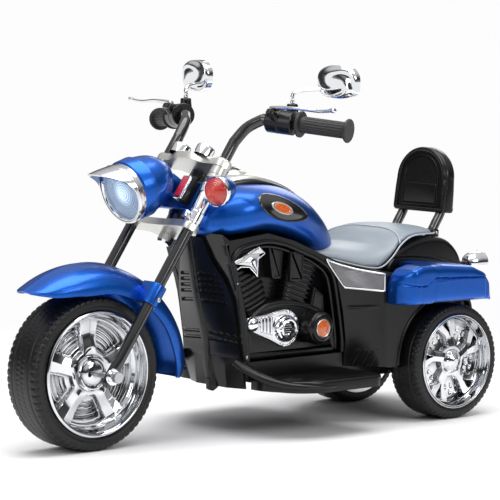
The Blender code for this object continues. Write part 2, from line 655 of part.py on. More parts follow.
def finned(cx, cz, lean, length, width, fins):
    """A cylinder's outline with cooling fins: its foot at (cx, cz), leaning forward."""
    left, right = [], []
    for k in range(fins):
        for part, edge in ((0.05, 1.0), (0.60, 1.0), (0.62, 0.93), (1.0, 0.93)):
            up = length * (k + part) / fins
            half = width / 2 * (0.72 + 0.28 * up / length) * edge
            left.append((-half, up))
            right.append((half, up))
    local = right + [(width * 0.46, length * 1.02)] + [(-width * 0.46, length * 1.02)]
    local += left[::-1]
    c, s = math.cos(lean), math.sin(lean)
    return [(cx + a * c + b * s, cz - a * s + b * c) for a, b in local]


def build_engine():
    inner = BAY_FLOOR + GAP
    face = 0.074
    for side, word in ((1, "left"), (-1, "right")):
        case = [(-0.2875, 0.1280), (-0.2850, 0.160), (-0.2825, 0.176), (-0.300, 0.205),
                (-0.330, 0.222), (-0.400, 0.222), (-0.440, 0.212), (-0.484, 0.190),
                (-0.4940, 0.1280)]
        engine = prism("engine_" + word, case, inner, face, "black_plastic", side=side)
        front = finned(-0.320, 0.208, math.radians(22), 0.098, 0.058, 6)
        rear = finned(-0.396, 0.208, math.radians(-19), 0.082, 0.064, 6)
        boolean(engine, prism("cylinder_front_" + word, front, inner, face - 0.001,
                              "black_plastic", side=side), "UNION")
        boolean(engine, prism("cylinder_rear_" + word, rear, inner, face - 0.002,
                              "black_plastic", side=side), "UNION")
        cover = [(-0.2590, 0.2900), (-0.2610, 0.2800), (-0.2720, 0.2860), (-0.2890, 0.2850),
                 (-0.3075, 0.2690), (-0.3095, 0.2985), (-0.3240, 0.3070), (-0.3090, 0.3170)]
        plate = prism("rocker_cover_" + word, cover, face + GAP, face + 0.0110, "chrome",
                      side=side)
        bevel(plate, 0.0020)
        gear = arc(-0.3675, 0.1784, 0.0325, -80, -270, 9)
        gear += [(-0.3300, 0.2060)] + arc(-0.2930, 0.1905, 0.0125, 90, -90, 6)
        gear += [(-0.3050, 0.1720), (-0.3350, 0.1590)]
        plate = prism("gear_cover_" + word, gear, face + GAP, face + 0.020, "chrome", side=side)
        bevel(plate, 0.0040, 2)
        profile = [(0, 0.0), (0, 0.0285), (0.030, 0.0285), (0.036, 0.025), (0.036, 0.0)]
        turned("clutch_cover_" + word, profile, at(-0.430, side * (face + GAP), 0.176),
               (0, side, 0), "black_plastic", 24)


# ---- tank and seat ------------------------------------------------------------------
TANK = [  # behind the axle, top, half width
    (-0.210, 0.376, 0.040), (-0.222, 0.396, 0.056), (-0.245, 0.411, 0.076),
    (-0.280, 0.4225, 0.093), (-0.320, 0.4260, 0.094), (-0.365, 0.4230, 0.090),
    (-0.410, 0.4120, 0.081), (-0.450, 0.3940, 0.068), (-0.485, 0.3690, 0.053),
    (-0.512, 0.3450, 0.036), (-0.533, 0.3240, 0.018)]
TANK_SIDES = 9
SEAT = [  # behind the axle, top, half width
    (-0.478, 0.312, 0.050), (-0.505, 0.314, 0.068), (-0.535, 0.312, 0.088),
    (-0.565, 0.309, 0.102), (-0.595, 0.317, 0.106), (-0.625, 0.332, 0.102),
    (-0.665, 0.3375, 0.095), (-0.710, 0.3370, 0.086), (-0.737, 0.3300, 0.074)]


def shell_ring(behind, top, half, bottom, grow=0.0, steps=TANK_SIDES, tuck=0.86):
    """A cross-section: flat below, full at the sides and round on top."""
    middle = bottom + (top - bottom) * 0.42
    ring = [at(behind, (half + grow) * tuck, bottom - grow)]
    for k in range(steps + 1):
        turn = math.radians(180 * k / steps)
        c, s = math.cos(turn), math.sin(turn)
        y = math.copysign(abs(c) ** 0.80, c) * (half + grow)
        ring.append(at(behind, y, middle + (top + grow - middle) * s ** 0.80))
    ring.append(at(behind, -(half + grow) * tuck, bottom - grow))
    return ring


def stations(table, line):
    """The rows of (behind, top, half width), with one more at each corner of line."""
    rows = []
    for (b0, t0, w0), (b1, t1, w1) in zip(table, table[1:]):
        for b in [b0] + [x for x, _ in line if b1 < x < b0]:
            part = (b - b0) / (b1 - b0)
            rows.append((b, t0 + (t1 - t0) * part, w0 + (w1 - w0) * part))
    return rows + [table[-1]]


def tank_rings(grow=0.0):
    return [shell_ring(b, top, half, max(level(DECK, b), 0.2870) + 0.0002, grow)
            for b, top, half in stations(TANK, DECK)]


def build_tank():
    tank = loft("fuel_tank", tank_rings(), "blue_paint")
    notch = [(-0.19, 0.33), (-0.19, 0.45), (-0.232, 0.45), (-0.262, 0.39), (-0.292, 0.33)]
    boolean(tank, prism("neck_notch", notch, -0.0175, 0.0175, "blue_paint"))
    rings = []
    crest = [(b, top) for b, top, _ in TANK]
    console = [(-0.288, 0.006, 0.012), (-0.300, 0.010, 0.026), (-0.335, 0.014, 0.033),
               (-0.375, 0.011, 0.030), (-0.430, 0.007, 0.018), (-0.474, 0.004, 0.007)]
    for behind, rise, half in stations(console, crest):
        base = level(crest, behind) + GAP
        rings.append([at(behind, half, base), at(behind, half * 0.75, base + rise * 0.75),
                      at(behind, 0, base + rise), at(behind, -half * 0.75, base + rise * 0.75),
                      at(behind, -half, base)])
    loft("tank_console", rings, "silver")

    under = DECK + DOME[1:]
    rings = [shell_ring(b, top, half, level(under, b) + GAP, steps=8, tuck=0.94)
             for b, top, half in stations(SEAT, under)]
    seat = loft("seat", rings, "seat_grey")
    boolean(seat, loft("tank_clearance", tank_rings(0.0006), "seat_grey"))


# ---- rear end -----------------------------------------------------------------------


def build_rear():
    for side, word in ((1, "left"), (-1, "right")):
        bag = [(-0.566, 0.2125), (-0.560, 0.240), (-0.562, 0.262), (-0.582, 0.276),
               (-0.640, 0.2795), (-0.715, 0.2720), (-0.738, 0.2620), (-0.752, 0.2390),
               (-0.757, 0.2100)]
        case = prism("saddlebag_" + word, bag, 0.1328, 0.188, "blue_paint", side=side)
        inboard = [(-0.620, 0.2125), (-0.620, 0.2780), (-0.640, 0.2790), (-0.715, 0.2715),
                   (-0.745, 0.2500), (-0.752, 0.2112)]
        boolean(case, prism("saddlebag_back_" + word, inboard, REAR_HALF + GAP, 0.140,
                            "blue_paint", side=side), "UNION")
        bevel(case, 0.006, 2, 50)

        foot = at(-0.7905, side * 0.060, 0.2550)
        centre = at(-0.8476, side * 0.060, 0.263)
        lamp = [(-0.030, 0.0), (-0.026, 0.010), (-0.010, 0.0165), (0.008, 0.0170),
                (0.016, 0.0130), (0.0224, 0.0)]
        body = turned("tail_lamp_" + word, lamp, centre, (-1, 0, 0), "chrome", 16)
        arm = swept("tail_arm_" + word, [foot + Vector((-0.0030, 0, 0)), centre], 0.006,
                    "chrome", 8)
        boolean(body, arm, "UNION")

    lean = Vector((-0.115, 0, 1)).normalized()
    foot_left = at(-0.7460, 0.0476, 0.3155)
    rise = lean * 0.105
    low = Vector((0, 0, -0.044))
    path = smooth_path([foot_left + rise, foot_left, foot_left + low,
                        foot_left + low + Vector((0.004, -0.020, -0.008))], 4)
    other = [flip(p, -1) for p in path[::-1]]
    path += other
    frame = swept_upright("backrest_frame", path, 0.0085, "black_steel")
    for side, word in ((1, "left"), (-1, "right")):
        hole = rod("post_hole_" + word, flip(foot_left - lean * 0.03, side),
                   flip(foot_left + lean * 0.03, side), 0.0105, "black_plastic", 12)
        boolean(bpy.data.objects["rear_fender"], hole)

    top_c = at(-0.7770, 0, 0.4010)
    wide = Vector((0, 1, 0))
    back = wide.cross(lean)
    outline = []
    for k in range(13):
        turn = math.radians(180 * k / 12)
        outline.append((0.0600 * math.cos(turn), 0.012 + 0.056 * math.sin(turn)))
    outline += [(-0.066, -0.045), (-0.064, -0.048), (0.064, -0.048), (0.066, -0.045)]
    rings = []
    for depth, size in ((-0.014, 0.93), (-0.010, 1.0), (0.010, 1.0), (0.014, 0.93)):
        rings.append([top_c + wide * a * size + lean * (b * size) + back * depth
                      for a, b in outline])
    rest = loft("backrest", rings, "black_plastic")
    for side, word in ((1, "left"), (-1, "right")):
        start = flip(foot_left, side) + lean * 0.02
        end = flip(foot_left, side) + lean * 0.1056
        boolean(rest, rod("backrest_socket_" + word, start, end, 0.0089, "black_plastic", 12))
    return frame


def swept_upright(name, points, radius, finish, sides=12):
    """A round tube that may run straight up, framed against the fore-and-aft axis."""
    rings = []
    reference = Vector((1, 0, 0))
    for i, point in enumerate(points):
        along = (points[min(i + 1, len(points) - 1)] - points[max(i - 1, 0)]).normalized()
        across = along.cross(reference).normalized()
        lift = across.cross(along).normalized()
        rings.append([point + (across * math.cos(2 * math.pi * k / sides)
                               + lift * math.sin(2 * math.pi * k / sides)) * radius
                      for k in range(sides)])
    return loft(name, rings, finish)


# ---- inside -------------------------------------------------------------------------


def build_inside():
    case = [(-0.530, 0.120), (-0.530, 0.226), (-0.600, 0.226), (-0.600, 0.120)]
    bevel(prism("battery", case, -0.0235, 0.0235, "battery_case"), 0.002)

    gears = [(-0.655, 0.094), (-0.640, 0.112), (-0.640, 0.175), (-0.690, 0.190),
             (-0.745, 0.165), (-0.750, 0.094)]
    unit = prism("drive_unit", gears, 0.034, 0.074, "gearbox_white", side=-1)
    motor = rod("motor_can", at(-0.668, -0.040, 0.148), at(-0.668, 0.040, 0.148), 0.018,
                "zinc_steel", 20)
    boolean(unit, motor, "UNION")
    drill = rod("gearbox_bore", (REAR_AXLE_X, -0.09, REAR_WHEEL_R),
                (REAR_AXLE_X, 0.0, REAR_WHEEL_R), AXLE_R + BORE, "gearbox_white", 12)
    boolean(unit, drill)

    tube = turned("head_tube", [(0.3006, 0.0084), (0.3006, 0.0150), (0.3974, 0.0150),
                                (0.3974, 0.0084)],
                  on_fork(0, -STEM_SETBACK), UP, "black_steel", 16, hollow=True)
    gusset = [(-0.205, 0.385), (-0.232, 0.410), (-0.262, 0.362), (-0.262, 0.3450),
              (-0.205, 0.3460)]
    boolean(tube, prism("head_gusset", gusset, -0.006, 0.006, "black_steel"), "UNION")
    clear = rod("stem_clear", on_fork(0.28, -STEM_SETBACK), on_fork(0.42, -STEM_SETBACK),
                0.0084, "black_steel", 16)
    boolean(tube, clear)


clear_scene()
build_wheels()
build_fork()
build_bar_ends()
build_controls()
build_headlight()
build_fork_trim()
build_front_fender()
build_body()
build_engine()
build_tank()
build_rear()
build_inside()
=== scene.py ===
"""Looks of a child's battery ride-on chopper with three wheels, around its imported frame."""
import math

import bmesh
import bpy
import numpy as np
from mathutils import Matrix, Vector


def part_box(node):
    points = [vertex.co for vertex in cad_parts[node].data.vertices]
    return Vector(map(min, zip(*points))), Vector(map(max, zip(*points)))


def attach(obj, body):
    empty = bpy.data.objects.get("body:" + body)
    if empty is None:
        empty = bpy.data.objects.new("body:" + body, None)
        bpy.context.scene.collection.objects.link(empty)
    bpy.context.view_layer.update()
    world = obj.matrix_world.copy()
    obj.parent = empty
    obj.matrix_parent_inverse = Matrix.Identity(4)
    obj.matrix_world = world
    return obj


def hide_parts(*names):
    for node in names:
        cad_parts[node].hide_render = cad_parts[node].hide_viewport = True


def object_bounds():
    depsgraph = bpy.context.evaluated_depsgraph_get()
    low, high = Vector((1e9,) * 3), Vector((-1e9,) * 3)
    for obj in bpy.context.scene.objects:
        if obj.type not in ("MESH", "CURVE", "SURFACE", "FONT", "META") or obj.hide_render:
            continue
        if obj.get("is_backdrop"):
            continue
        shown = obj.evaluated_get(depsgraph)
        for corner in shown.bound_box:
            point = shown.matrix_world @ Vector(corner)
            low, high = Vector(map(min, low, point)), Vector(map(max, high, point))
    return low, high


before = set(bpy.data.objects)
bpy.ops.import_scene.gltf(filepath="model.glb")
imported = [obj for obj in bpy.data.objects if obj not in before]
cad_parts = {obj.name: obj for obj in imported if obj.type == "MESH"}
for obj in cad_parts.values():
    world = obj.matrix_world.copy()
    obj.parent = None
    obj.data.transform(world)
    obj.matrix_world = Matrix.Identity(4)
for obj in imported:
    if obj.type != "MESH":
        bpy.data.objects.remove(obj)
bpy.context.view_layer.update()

# ---- floor, light and camera -----------------------------------------------------------------
# A pale sweep of paper under one wide overhead softbox and two upright ones, as toys are
# shot for a catalogue. The camera stands low, ahead of the machine and on its left side.

FLOOR_HALF = 60.0
floor_mesh = bpy.data.meshes.new("studio_floor")
floor_mesh.from_pydata([(-FLOOR_HALF, -FLOOR_HALF, 0), (FLOOR_HALF, -FLOOR_HALF, 0),
                        (FLOOR_HALF, FLOOR_HALF, 0), (-FLOOR_HALF, FLOOR_HALF, 0)],
                       [], [(0, 1, 2, 3)])
floor = bpy.data.objects.new("studio_floor", floor_mesh)
bpy.context.scene.collection.objects.link(floor)
paper = bpy.data.materials.new("studio_paper")
paper.use_nodes = True
sheet = paper.node_tree
matt = sheet.nodes["Principled BSDF"]
matt.inputs["Base Color"].default_value = (0.93, 0.93, 0.93, 1)
matt.inputs["Roughness"].default_value = 0.9
matt.inputs["Specular IOR Level"].default_value = 0.1
lit = sheet.nodes.new("ShaderNodeEmission")         # the far paper is lit from behind
lit.inputs["Color"].default_value = (0.98, 0.98, 0.98, 1)
spot = sheet.nodes.new("ShaderNodeTexCoord")
reach = sheet.nodes.new("ShaderNodeVectorMath")
reach.operation = "LENGTH"
fade = sheet.nodes.new("ShaderNodeMapRange")
fade.inputs["From Min"].default_value = 0.55
fade.inputs["From Max"].default_value = 1.5
either = sheet.nodes.new("ShaderNodeMixShader")
sheet.links.new(spot.outputs["Object"], reach.inputs[0])
sheet.links.new(reach.outputs["Value"], fade.inputs["Value"])
sheet.links.new(fade.outputs["Result"], either.inputs["Fac"])
sheet.links.new(matt.outputs[0], either.inputs[1])
sheet.links.new(lit.outputs[0], either.inputs[2])
sheet.links.new(either.outputs[0], sheet.nodes["Material Output"].inputs["Surface"])
floor_mesh.materials.append(paper)
floor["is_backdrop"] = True

sky = bpy.data.worlds.new("studio_air")
bpy.context.scene.world = sky
sky.use_nodes = True
air = sky.node_tree
air.nodes.clear()
ray_height = air.nodes.new("ShaderNodeTexCoord")
height_part = air.nodes.new("ShaderNodeSeparateXYZ")
height_ramp = air.nodes.new("ShaderNodeValToRGB")
seen = air.nodes.new("ShaderNodeLightPath")
plain = air.nodes.new("ShaderNodeMix")
plain.data_type = "RGBA"
glow = air.nodes.new("ShaderNodeBackground")
air_out = air.nodes.new("ShaderNodeOutputWorld")
air.links.new(ray_height.outputs["Generated"], height_part.inputs[0])
air.links.new(height_part.outputs["Z"], height_ramp.inputs["Fac"])
air.links.new(height_ramp.outputs["Color"], plain.inputs[6])
air.links.new(seen.outputs["Is Camera Ray"], plain.inputs["Factor"])
air.links.new(plain.outputs[2], glow.inputs["Color"])
air.links.new(glow.outputs[0], air_out.inputs["Surface"])
plain.inputs[7].default_value = (0.98, 0.98, 0.98, 1)
AIR_STEPS = [(0.00, 0.30), (0.06, 0.08), (0.16, 0.03), (0.30, 0.12), (0.55, 0.55), (1.00, 0.8)]
while len(height_ramp.color_ramp.elements) < len(AIR_STEPS):
    height_ramp.color_ramp.elements.new(0.5)
for stop, (place, level) in zip(height_ramp.color_ramp.elements, AIR_STEPS):
    stop.position = place
    stop.color = (level, level, level * 1.01, 1)

LIGHTS = (  # name, place, aim, size, power
    ("overhead_box", (0.1, 0.2, 2.4), (0, 0, 0.2), (2.4, 1.8), 58),
    ("side_box", (-0.3, 2.6, 1.5), (0, 0, 0.3), (1.5, 0.8), 20),
    ("front_box", (2.6, 0.3, 1.3), (0.2, 0, 0.3), (0.7, 1.3), 12),
    ("back_box", (-2.4, -1.6, 1.6), (0, 0, 0.3), (1.4, 1.4), 14),
)
for light_name, place, aim, (wide, tall), power in LIGHTS:
    lamp = bpy.data.lights.new(light_name, "AREA")
    lamp.shape = "RECTANGLE"
    lamp.size, lamp.size_y, lamp.energy = wide, tall, power
    holder = bpy.data.objects.new(light_name, lamp)
    holder.location = place
    holder.rotation_euler = (Vector(aim) - Vector(place)).to_track_quat("-Z", "Y").to_euler()
    bpy.context.scene.collection.objects.link(holder)

FRONT = np.array([0.3715, 0.0, 0.127])          # centre of the front wheel
CAMERA_FROM_WHEEL = (2.6574, 3.4971, 0.6198)
CAMERA_YAW, CAMERA_PITCH, CAMERA_ROLL = -2.2824, -0.0952, 0.0068
CAMERA_LENS = 195.1
look = Vector((math.cos(CAMERA_PITCH) * math.cos(CAMERA_YAW),
               math.cos(CAMERA_PITCH) * math.sin(CAMERA_YAW), math.sin(CAMERA_PITCH)))
level_right = look.cross(Vector((0, 0, 1))).normalized()
level_up = level_right.cross(look)
roll_c, roll_s = math.cos(CAMERA_ROLL), math.sin(CAMERA_ROLL)
right = level_right * roll_c + level_up * roll_s
up = level_up * roll_c - level_right * roll_s
camera = bpy.data.objects.new("camera", bpy.data.cameras.new("camera"))
camera.data.lens = CAMERA_LENS
camera.data.clip_end = 200
turn = Matrix((right, up, -look)).transposed().to_4x4()
camera.matrix_world = Matrix.Translation(Vector(FRONT) + Vector(CAMERA_FROM_WHEEL)) @ turn
bpy.context.scene.collection.objects.link(camera)
bpy.context.scene.camera = camera
bpy.context.scene.view_settings.view_transform = "Standard"

# ---- tyres -----------------------------------------------------------------------------------
# Hollow moulded tyres of hard black plastic, a 10 in one in front and two 8 in ones
# behind. The mould cuts cross grooves into both shoulders and two fine lines round the tread.


def finish(name, base, rough, metal=0.0, grain=(900.0, 0.00004), cloud=(30.0, 0.08),
           rough_cloud=0.06, coat=0.0, coat_rough=0.05, specular=0.5):
    """A moulded or painted surface: fine grain as bump, and slow clouds of shade and gloss."""
    made = bpy.data.materials.new(name)
    made.use_nodes = True
    tree = made.node_tree
    shader = tree.nodes["Principled BSDF"]
    shader.inputs["Metallic"].default_value = metal
    shader.inputs["Coat Weight"].default_value = coat
    shader.inputs["Coat Roughness"].default_value = coat_rough
    shader.inputs["Specular IOR Level"].default_value = specular
    place = tree.nodes.new("ShaderNodeTexCoord")
    slow = tree.nodes.new("ShaderNodeTexNoise")
    slow.inputs["Scale"].default_value = cloud[0]
    slow.inputs["Detail"].default_value = 3.0
    tree.links.new(place.outputs["Object"], slow.inputs["Vector"])
    shade = tree.nodes.new("ShaderNodeMix")
    shade.data_type = "RGBA"
    dark = [c * (1 - cloud[1]) for c in base]
    light = [min(c * (1 + cloud[1]), 1.0) for c in base]
    shade.inputs[6].default_value = (*dark, 1)
    shade.inputs[7].default_value = (*light, 1)
    tree.links.new(slow.outputs["Fac"], shade.inputs["Factor"])
    tree.links.new(shade.outputs[2], shader.inputs["Base Color"])
    gloss = tree.nodes.new("ShaderNodeMapRange")
    gloss.inputs["To Min"].default_value = max(rough - rough_cloud, 0.01)
    gloss.inputs["To Max"].default_value = rough + rough_cloud
    tree.links.new(slow.outputs["Fac"], gloss.inputs["Value"])
    tree.links.new(gloss.outputs["Result"], shader.inputs["Roughness"])
    fine = tree.nodes.new("ShaderNodeTexNoise")
    fine.inputs["Scale"].default_value = grain[0]
    fine.inputs["Detail"].default_value = 2.0
    tree.links.new(place.outputs["Object"], fine.inputs["Vector"])
    relief = tree.nodes.new("ShaderNodeBump")
    relief.inputs["Distance"].default_value = grain[1]
    tree.links.new(fine.outputs["Fac"], relief.inputs["Height"])
    tree.links.new(relief.outputs["Normal"], shader.inputs["Normal"])
    return made


def skin(name, points, material, close_rows=False, close_columns=False, cap=False,
         crease=40.0, outward=True):
    """A surface through a grid of points (rows, columns, xyz), one face for each cell.

    Rows or columns may close on themselves, and cap closes the first and last rows. Doubled
    points are merged and, on a closed surface, the faces are turned outwards.
    """
    rows, columns = points.shape[:2]
    index = np.arange(rows * columns).reshape(rows, columns)
    if close_rows:
        index = np.vstack([index, index[:1]])
    if close_columns:
        index = np.hstack([index, index[:, :1]])
    quads = np.stack([index[:-1, :-1], index[:-1, 1:], index[1:, 1:], index[1:, :-1]], -1)
    faces = quads.reshape(-1, 4).tolist()
    if cap:
        loop = np.arange(rows * columns).reshape(rows, columns)
        faces += [loop[0][::-1].tolist(), loop[-1].tolist()]
    return piece_of(name, points.reshape(-1, 3), faces, material, crease, outward)


def piece_of(name, points, faces, material, crease=40.0, outward=True):
    """A mesh object from points and faces, cleaned and shaded smooth up to the crease angle."""
    mesh = bpy.data.meshes.new(name)
    mesh.from_pydata(np.asarray(points, float).tolist(), [], faces)
    work = bmesh.new()
    work.from_mesh(mesh)
    bmesh.ops.remove_doubles(work, verts=work.verts, dist=1e-6)
    bmesh.ops.dissolve_degenerate(work, dist=1e-7, edges=work.edges)
    if outward:
        bmesh.ops.recalc_face_normals(work, faces=work.faces)
    work.to_mesh(mesh)
    work.free()
    mesh.shade_smooth()
    mesh.set_sharp_from_angle(angle=math.radians(crease))
    mesh.materials.append(material)
    made = bpy.data.objects.new(name, mesh)
    bpy.context.scene.collection.objects.link(made)
    return made


def belong(piece, body, slot, *stands_for):
    """The piece rides on a body and hides the frame's nodes it stands for. The slot is not used."""
    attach(piece, body)
    if stands_for:
        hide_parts(*stands_for)
    return piece


def turned(name, profile, centre, axis, material, turns=64, closed=False, crease=35.0):
    """A profile of (along, radius) turned about an axis through the centre."""
    profile = np.asarray(profile, float)
    axis = np.asarray(axis, float) / np.linalg.norm(axis)
    first = np.cross(axis, (0.0, 0.0, 1.0) if abs(axis[2]) < 0.9 else (1.0, 0.0, 0.0))
    first /= np.linalg.norm(first)
    second = np.cross(axis, first)
    angle = np.linspace(0, 2 * np.pi, turns, endpoint=False)[:, None, None]
    out = first * np.cos(angle) + second * np.sin(angle)
    points = np.asarray(centre) + axis * profile[None, :, :1] + out * profile[None, :, 1:]
    return skin(name, points, material, close_rows=True, close_columns=closed, crease=crease)


tyre_black = finish("tyre_plastic", (0.0070, 0.0070, 0.0074), 0.36, grain=(700.0, 0.00006),
                    cloud=(18.0, 0.22), rough_cloud=0.08, specular=0.34)


def smooth_step(x, low, high):
    """Rises from 0 to 1 between low and high, level at both ends; give -x to fall."""
    t = np.clip((x - low) / (high - low), 0, 1)
    return t * t * (3 - 2 * t)


def tyre(name, centre, radius, bead, half, lugs, body, node):
    """A tyre carried round its axle.

    Across, the outline is a rounded tread that falls to upright side walls. Round the wheel,
    grooves cut the shoulders at even steps, and fine lines run round the crown.
    """
    around = np.linspace(0, 2 * np.pi, lugs * 12, endpoint=False)
    across = np.linspace(-1, 1, 121)
    bend = np.abs(across)
    tread = np.clip(bend / 0.60, 0, 1)
    wall = np.clip((bend - 0.60) / 0.40, 0, 1)
    width = half * np.sign(across) * np.sin(0.5 * np.pi * tread) ** 0.86
    drop = 0.019 * (1 - np.sqrt(1 - (0.985 * tread) ** 4))
    low_edge = radius - 0.019 * (1 - np.sqrt(1 - 0.985 ** 4))
    reach = np.where(wall > 0, low_edge - wall * (low_edge - bead), radius - drop)
    width = width - np.sign(across) * 0.0030 * smooth_step(wall, 0.15, 1.0)
    scallop = np.clip((0.5 + 0.5 * np.cos(lugs * around) - 0.55) / 0.45, 0, 1)[:, None]
    shoulder = (smooth_step(bend, 0.24, 0.32) * smooth_step(-bend, -0.60, -0.50))[None, :]
    ribs = (0.5 + 0.5 * np.cos(3 * lugs * around))[:, None]
    bead_zone = (smooth_step(wall, 0.22, 0.30) * smooth_step(-wall, -0.80, -0.72))[None, :]
    lines = np.exp(-((bend - 0.185) / 0.010) ** 2) + 0.8 * np.exp(-((bend - 0.225) / 0.008) ** 2)
    zigzag = np.exp(-((across[None, :] - 0.045 * np.sign(np.sin(1.5 * lugs * around))[:, None])
                      / 0.014) ** 2)
    ring = np.exp(-((wall - 0.12) / 0.05) ** 2)[None, :]
    cut = 0.0016 * scallop * shoulder + 0.0011 * lines[None, :] + 0.0009 * zigzag
    grid_r = reach[None, :] - cut
    grid_y = width[None, :] - np.sign(across)[None, :] * (0.0009 * ribs * bead_zone + 0.0008 * ring)
    points = np.stack([centre[0] + grid_r * np.cos(around)[:, None],
                       centre[1] + np.broadcast_to(grid_y, grid_r.shape),
                       centre[2] + grid_r * np.sin(around)[:, None]], -1)
    made = skin(name, points, tyre_black, close_rows=True, close_columns=True, crease=50)
    return belong(made, body, "tyre", node)


WHEELBASE = 0.7027
REAR_LEFT = np.array([FRONT[0] - WHEELBASE, 0.125, 0.1015])
REAR_RIGHT = REAR_LEFT * (1, -1, 1)
FRONT_BEAD, REAR_BEAD = 0.0985, 0.0775
tyre("front_tyre_moulding", FRONT, 0.127, FRONT_BEAD, 0.0415, 64, "front_wheel", "front_tyre")
tyre("rear_tyre_moulding_left", REAR_LEFT, 0.1015, REAR_BEAD, 0.034, 60, "rear_wheel_left",
     "rear_tyre_left")
tyre("rear_tyre_moulding_right", REAR_RIGHT, 0.1015, REAR_BEAD, 0.034, 60, "rear_wheel_right",
     "rear_tyre_right")

# ---- front rim -------------------------------------------------------------------------------
# One injection moulding in two halves, vacuum plated: a deep polished dish, five broad
# ridged spokes with stepped pockets between them, and a domed cap over the axle.

chrome = finish("bright_plating", (0.83, 0.84, 0.86), 0.045, metal=1.0, grain=(260.0, 0.000012),
                cloud=(9.0, 0.03), rough_cloud=0.02)


def plating_with_painted_corner_shade(name, base, depth):
    """Plating with painted shade: an ambient occlusion node darkens its colour in corners nearer
    than a depth.
    """
    made = finish(name, base, 0.05, metal=1.0, grain=(260.0, 0.000012), cloud=(30.0, 0.05),
                  rough_cloud=0.02)
    tree = made.node_tree
    # painted shade: ambient occlusion darkens the base colour in corners and pockets
    corner = tree.nodes.new("ShaderNodeAmbientOcclusion")
    corner.inputs["Distance"].default_value = depth
    ramp = tree.nodes.new("ShaderNodeMapRange")
    ramp.inputs["From Min"].default_value = 0.35
    ramp.inputs["From Max"].default_value = 0.92
    ramp.inputs["To Min"].default_value = 0.04
    shade = tree.nodes.new("ShaderNodeMix")
    shade.data_type = "RGBA"
    shade.blend_type = "MULTIPLY"
    shade.inputs["Factor"].default_value = 1.0
    clouds = tree.nodes["Mix"].outputs[2]
    tree.links.new(corner.outputs["AO"], ramp.inputs["Value"])
    tree.links.new(clouds, shade.inputs[6])
    tree.links.new(ramp.outputs["Result"], shade.inputs[7])
    tree.links.new(shade.outputs[2], tree.nodes["Principled BSDF"].inputs["Base Color"])
    return made


# The rim faces' plating carries painted shade in its corners and pockets.
rim_plating_painted_shade = plating_with_painted_corner_shade("rim_plating_painted_shade", (0.70, 0.71, 0.73), 0.016)


def wheel_disc(name, centre, side, height, radii, turns):
    """A wheel face: a height over the wheel's plane for every radius and angle."""
    angle = np.linspace(0, 2 * np.pi, turns, endpoint=False)
    r, a = np.meshgrid(radii, angle)
    y = height(r, a)
    points = np.stack([centre[0] + r * np.cos(a), centre[1] + side * y,
                       centre[2] + r * np.sin(a)], -1)
    return skin(name, points, rim_plating_painted_shade, close_rows=True, crease=32, outward=False)


RIM_EDGE = 0.0419               # outer face of the front rim's lip, from the wheel's middle


def front_face(r, a):
    """The star: spokes of even width with a ridge, over pockets that step down, in a dish."""
    sector = (a + np.pi / 2) % (2 * np.pi / 5) - np.pi / 5
    off = np.abs(sector) * r
    spoke = 0.0135 + 0.004 * smooth_step(r, 0.055, 0.088) + 0.004 * smooth_step(-r, -0.042, -0.024)
    ridge = 0.0035 * (1 - np.clip(off / spoke, 0, 1)) * smooth_step(r, 0.030, 0.045)
    body = 0.0150 + 0.006 * smooth_step(-r, -0.070, -0.030) + ridge
    pocket = smooth_step(off, spoke, spoke + 0.0025) * smooth_step(r, 0.036, 0.040)
    pocket *= smooth_step(-r, -0.0862, -0.0835)
    inner = smooth_step(off, spoke + 0.0045, spoke + 0.0065) * smooth_step(r, 0.046, 0.050)
    inner *= smooth_step(-r, -0.0800, -0.0775)
    floor_bumps = 0.0012 * np.sin(r * 900) * inner
    y = body - 0.0075 * pocket - 0.0055 * inner + floor_bumps
    dish = smooth_step(r, 0.0880, 0.0925)
    y = y * (1 - dish) + dish * (0.020 + 0.0155 * smooth_step(r, 0.0915, 0.0985))
    lip = smooth_step(r, 0.0975, 0.0990)
    y = y * (1 - lip) + lip * (RIM_EDGE + 0.0018 * np.sin(np.pi * np.clip(
        (r - 0.0975) / 0.006, 0, 1)))
    cap = 0.0245 + 0.0045 * smooth_step(-r, -0.0300, -0.0265)
    cap = cap - 0.0030 * np.exp(-((r - 0.0225) / 0.0014) ** 2)
    cap = cap + 0.0060 * np.sqrt(np.clip(1 - (r / 0.0195) ** 2, 0, 1))
    return np.where(r < 0.0300, cap, y)


RIM_RADII = np.concatenate([np.linspace(0, 0.0298, 22), np.linspace(0.0301, 0.0480, 26),
                            np.linspace(0.0486, 0.0740, 26), np.linspace(0.0746, 0.1035, 66)])
for side, word in ((1, "left"), (-1, "right")):
    star = wheel_disc("front_rim_star_" + word, FRONT, side, front_face, RIM_RADII, 480)
    if word == "right":
        star.data.flip_normals()
    belong(star, "front_wheel", "chrome", *(("front_rim",) if word == "left" else ()))

# ---- rear rims -------------------------------------------------------------------------------
# Plated mouldings like the front rim. Five swept spokes that split towards the rim stand
# over a drilled disc, and a cone with small studs covers the axle.

REAR_EDGE = 0.0344              # outer face of a rear rim's lip, from the wheel's middle


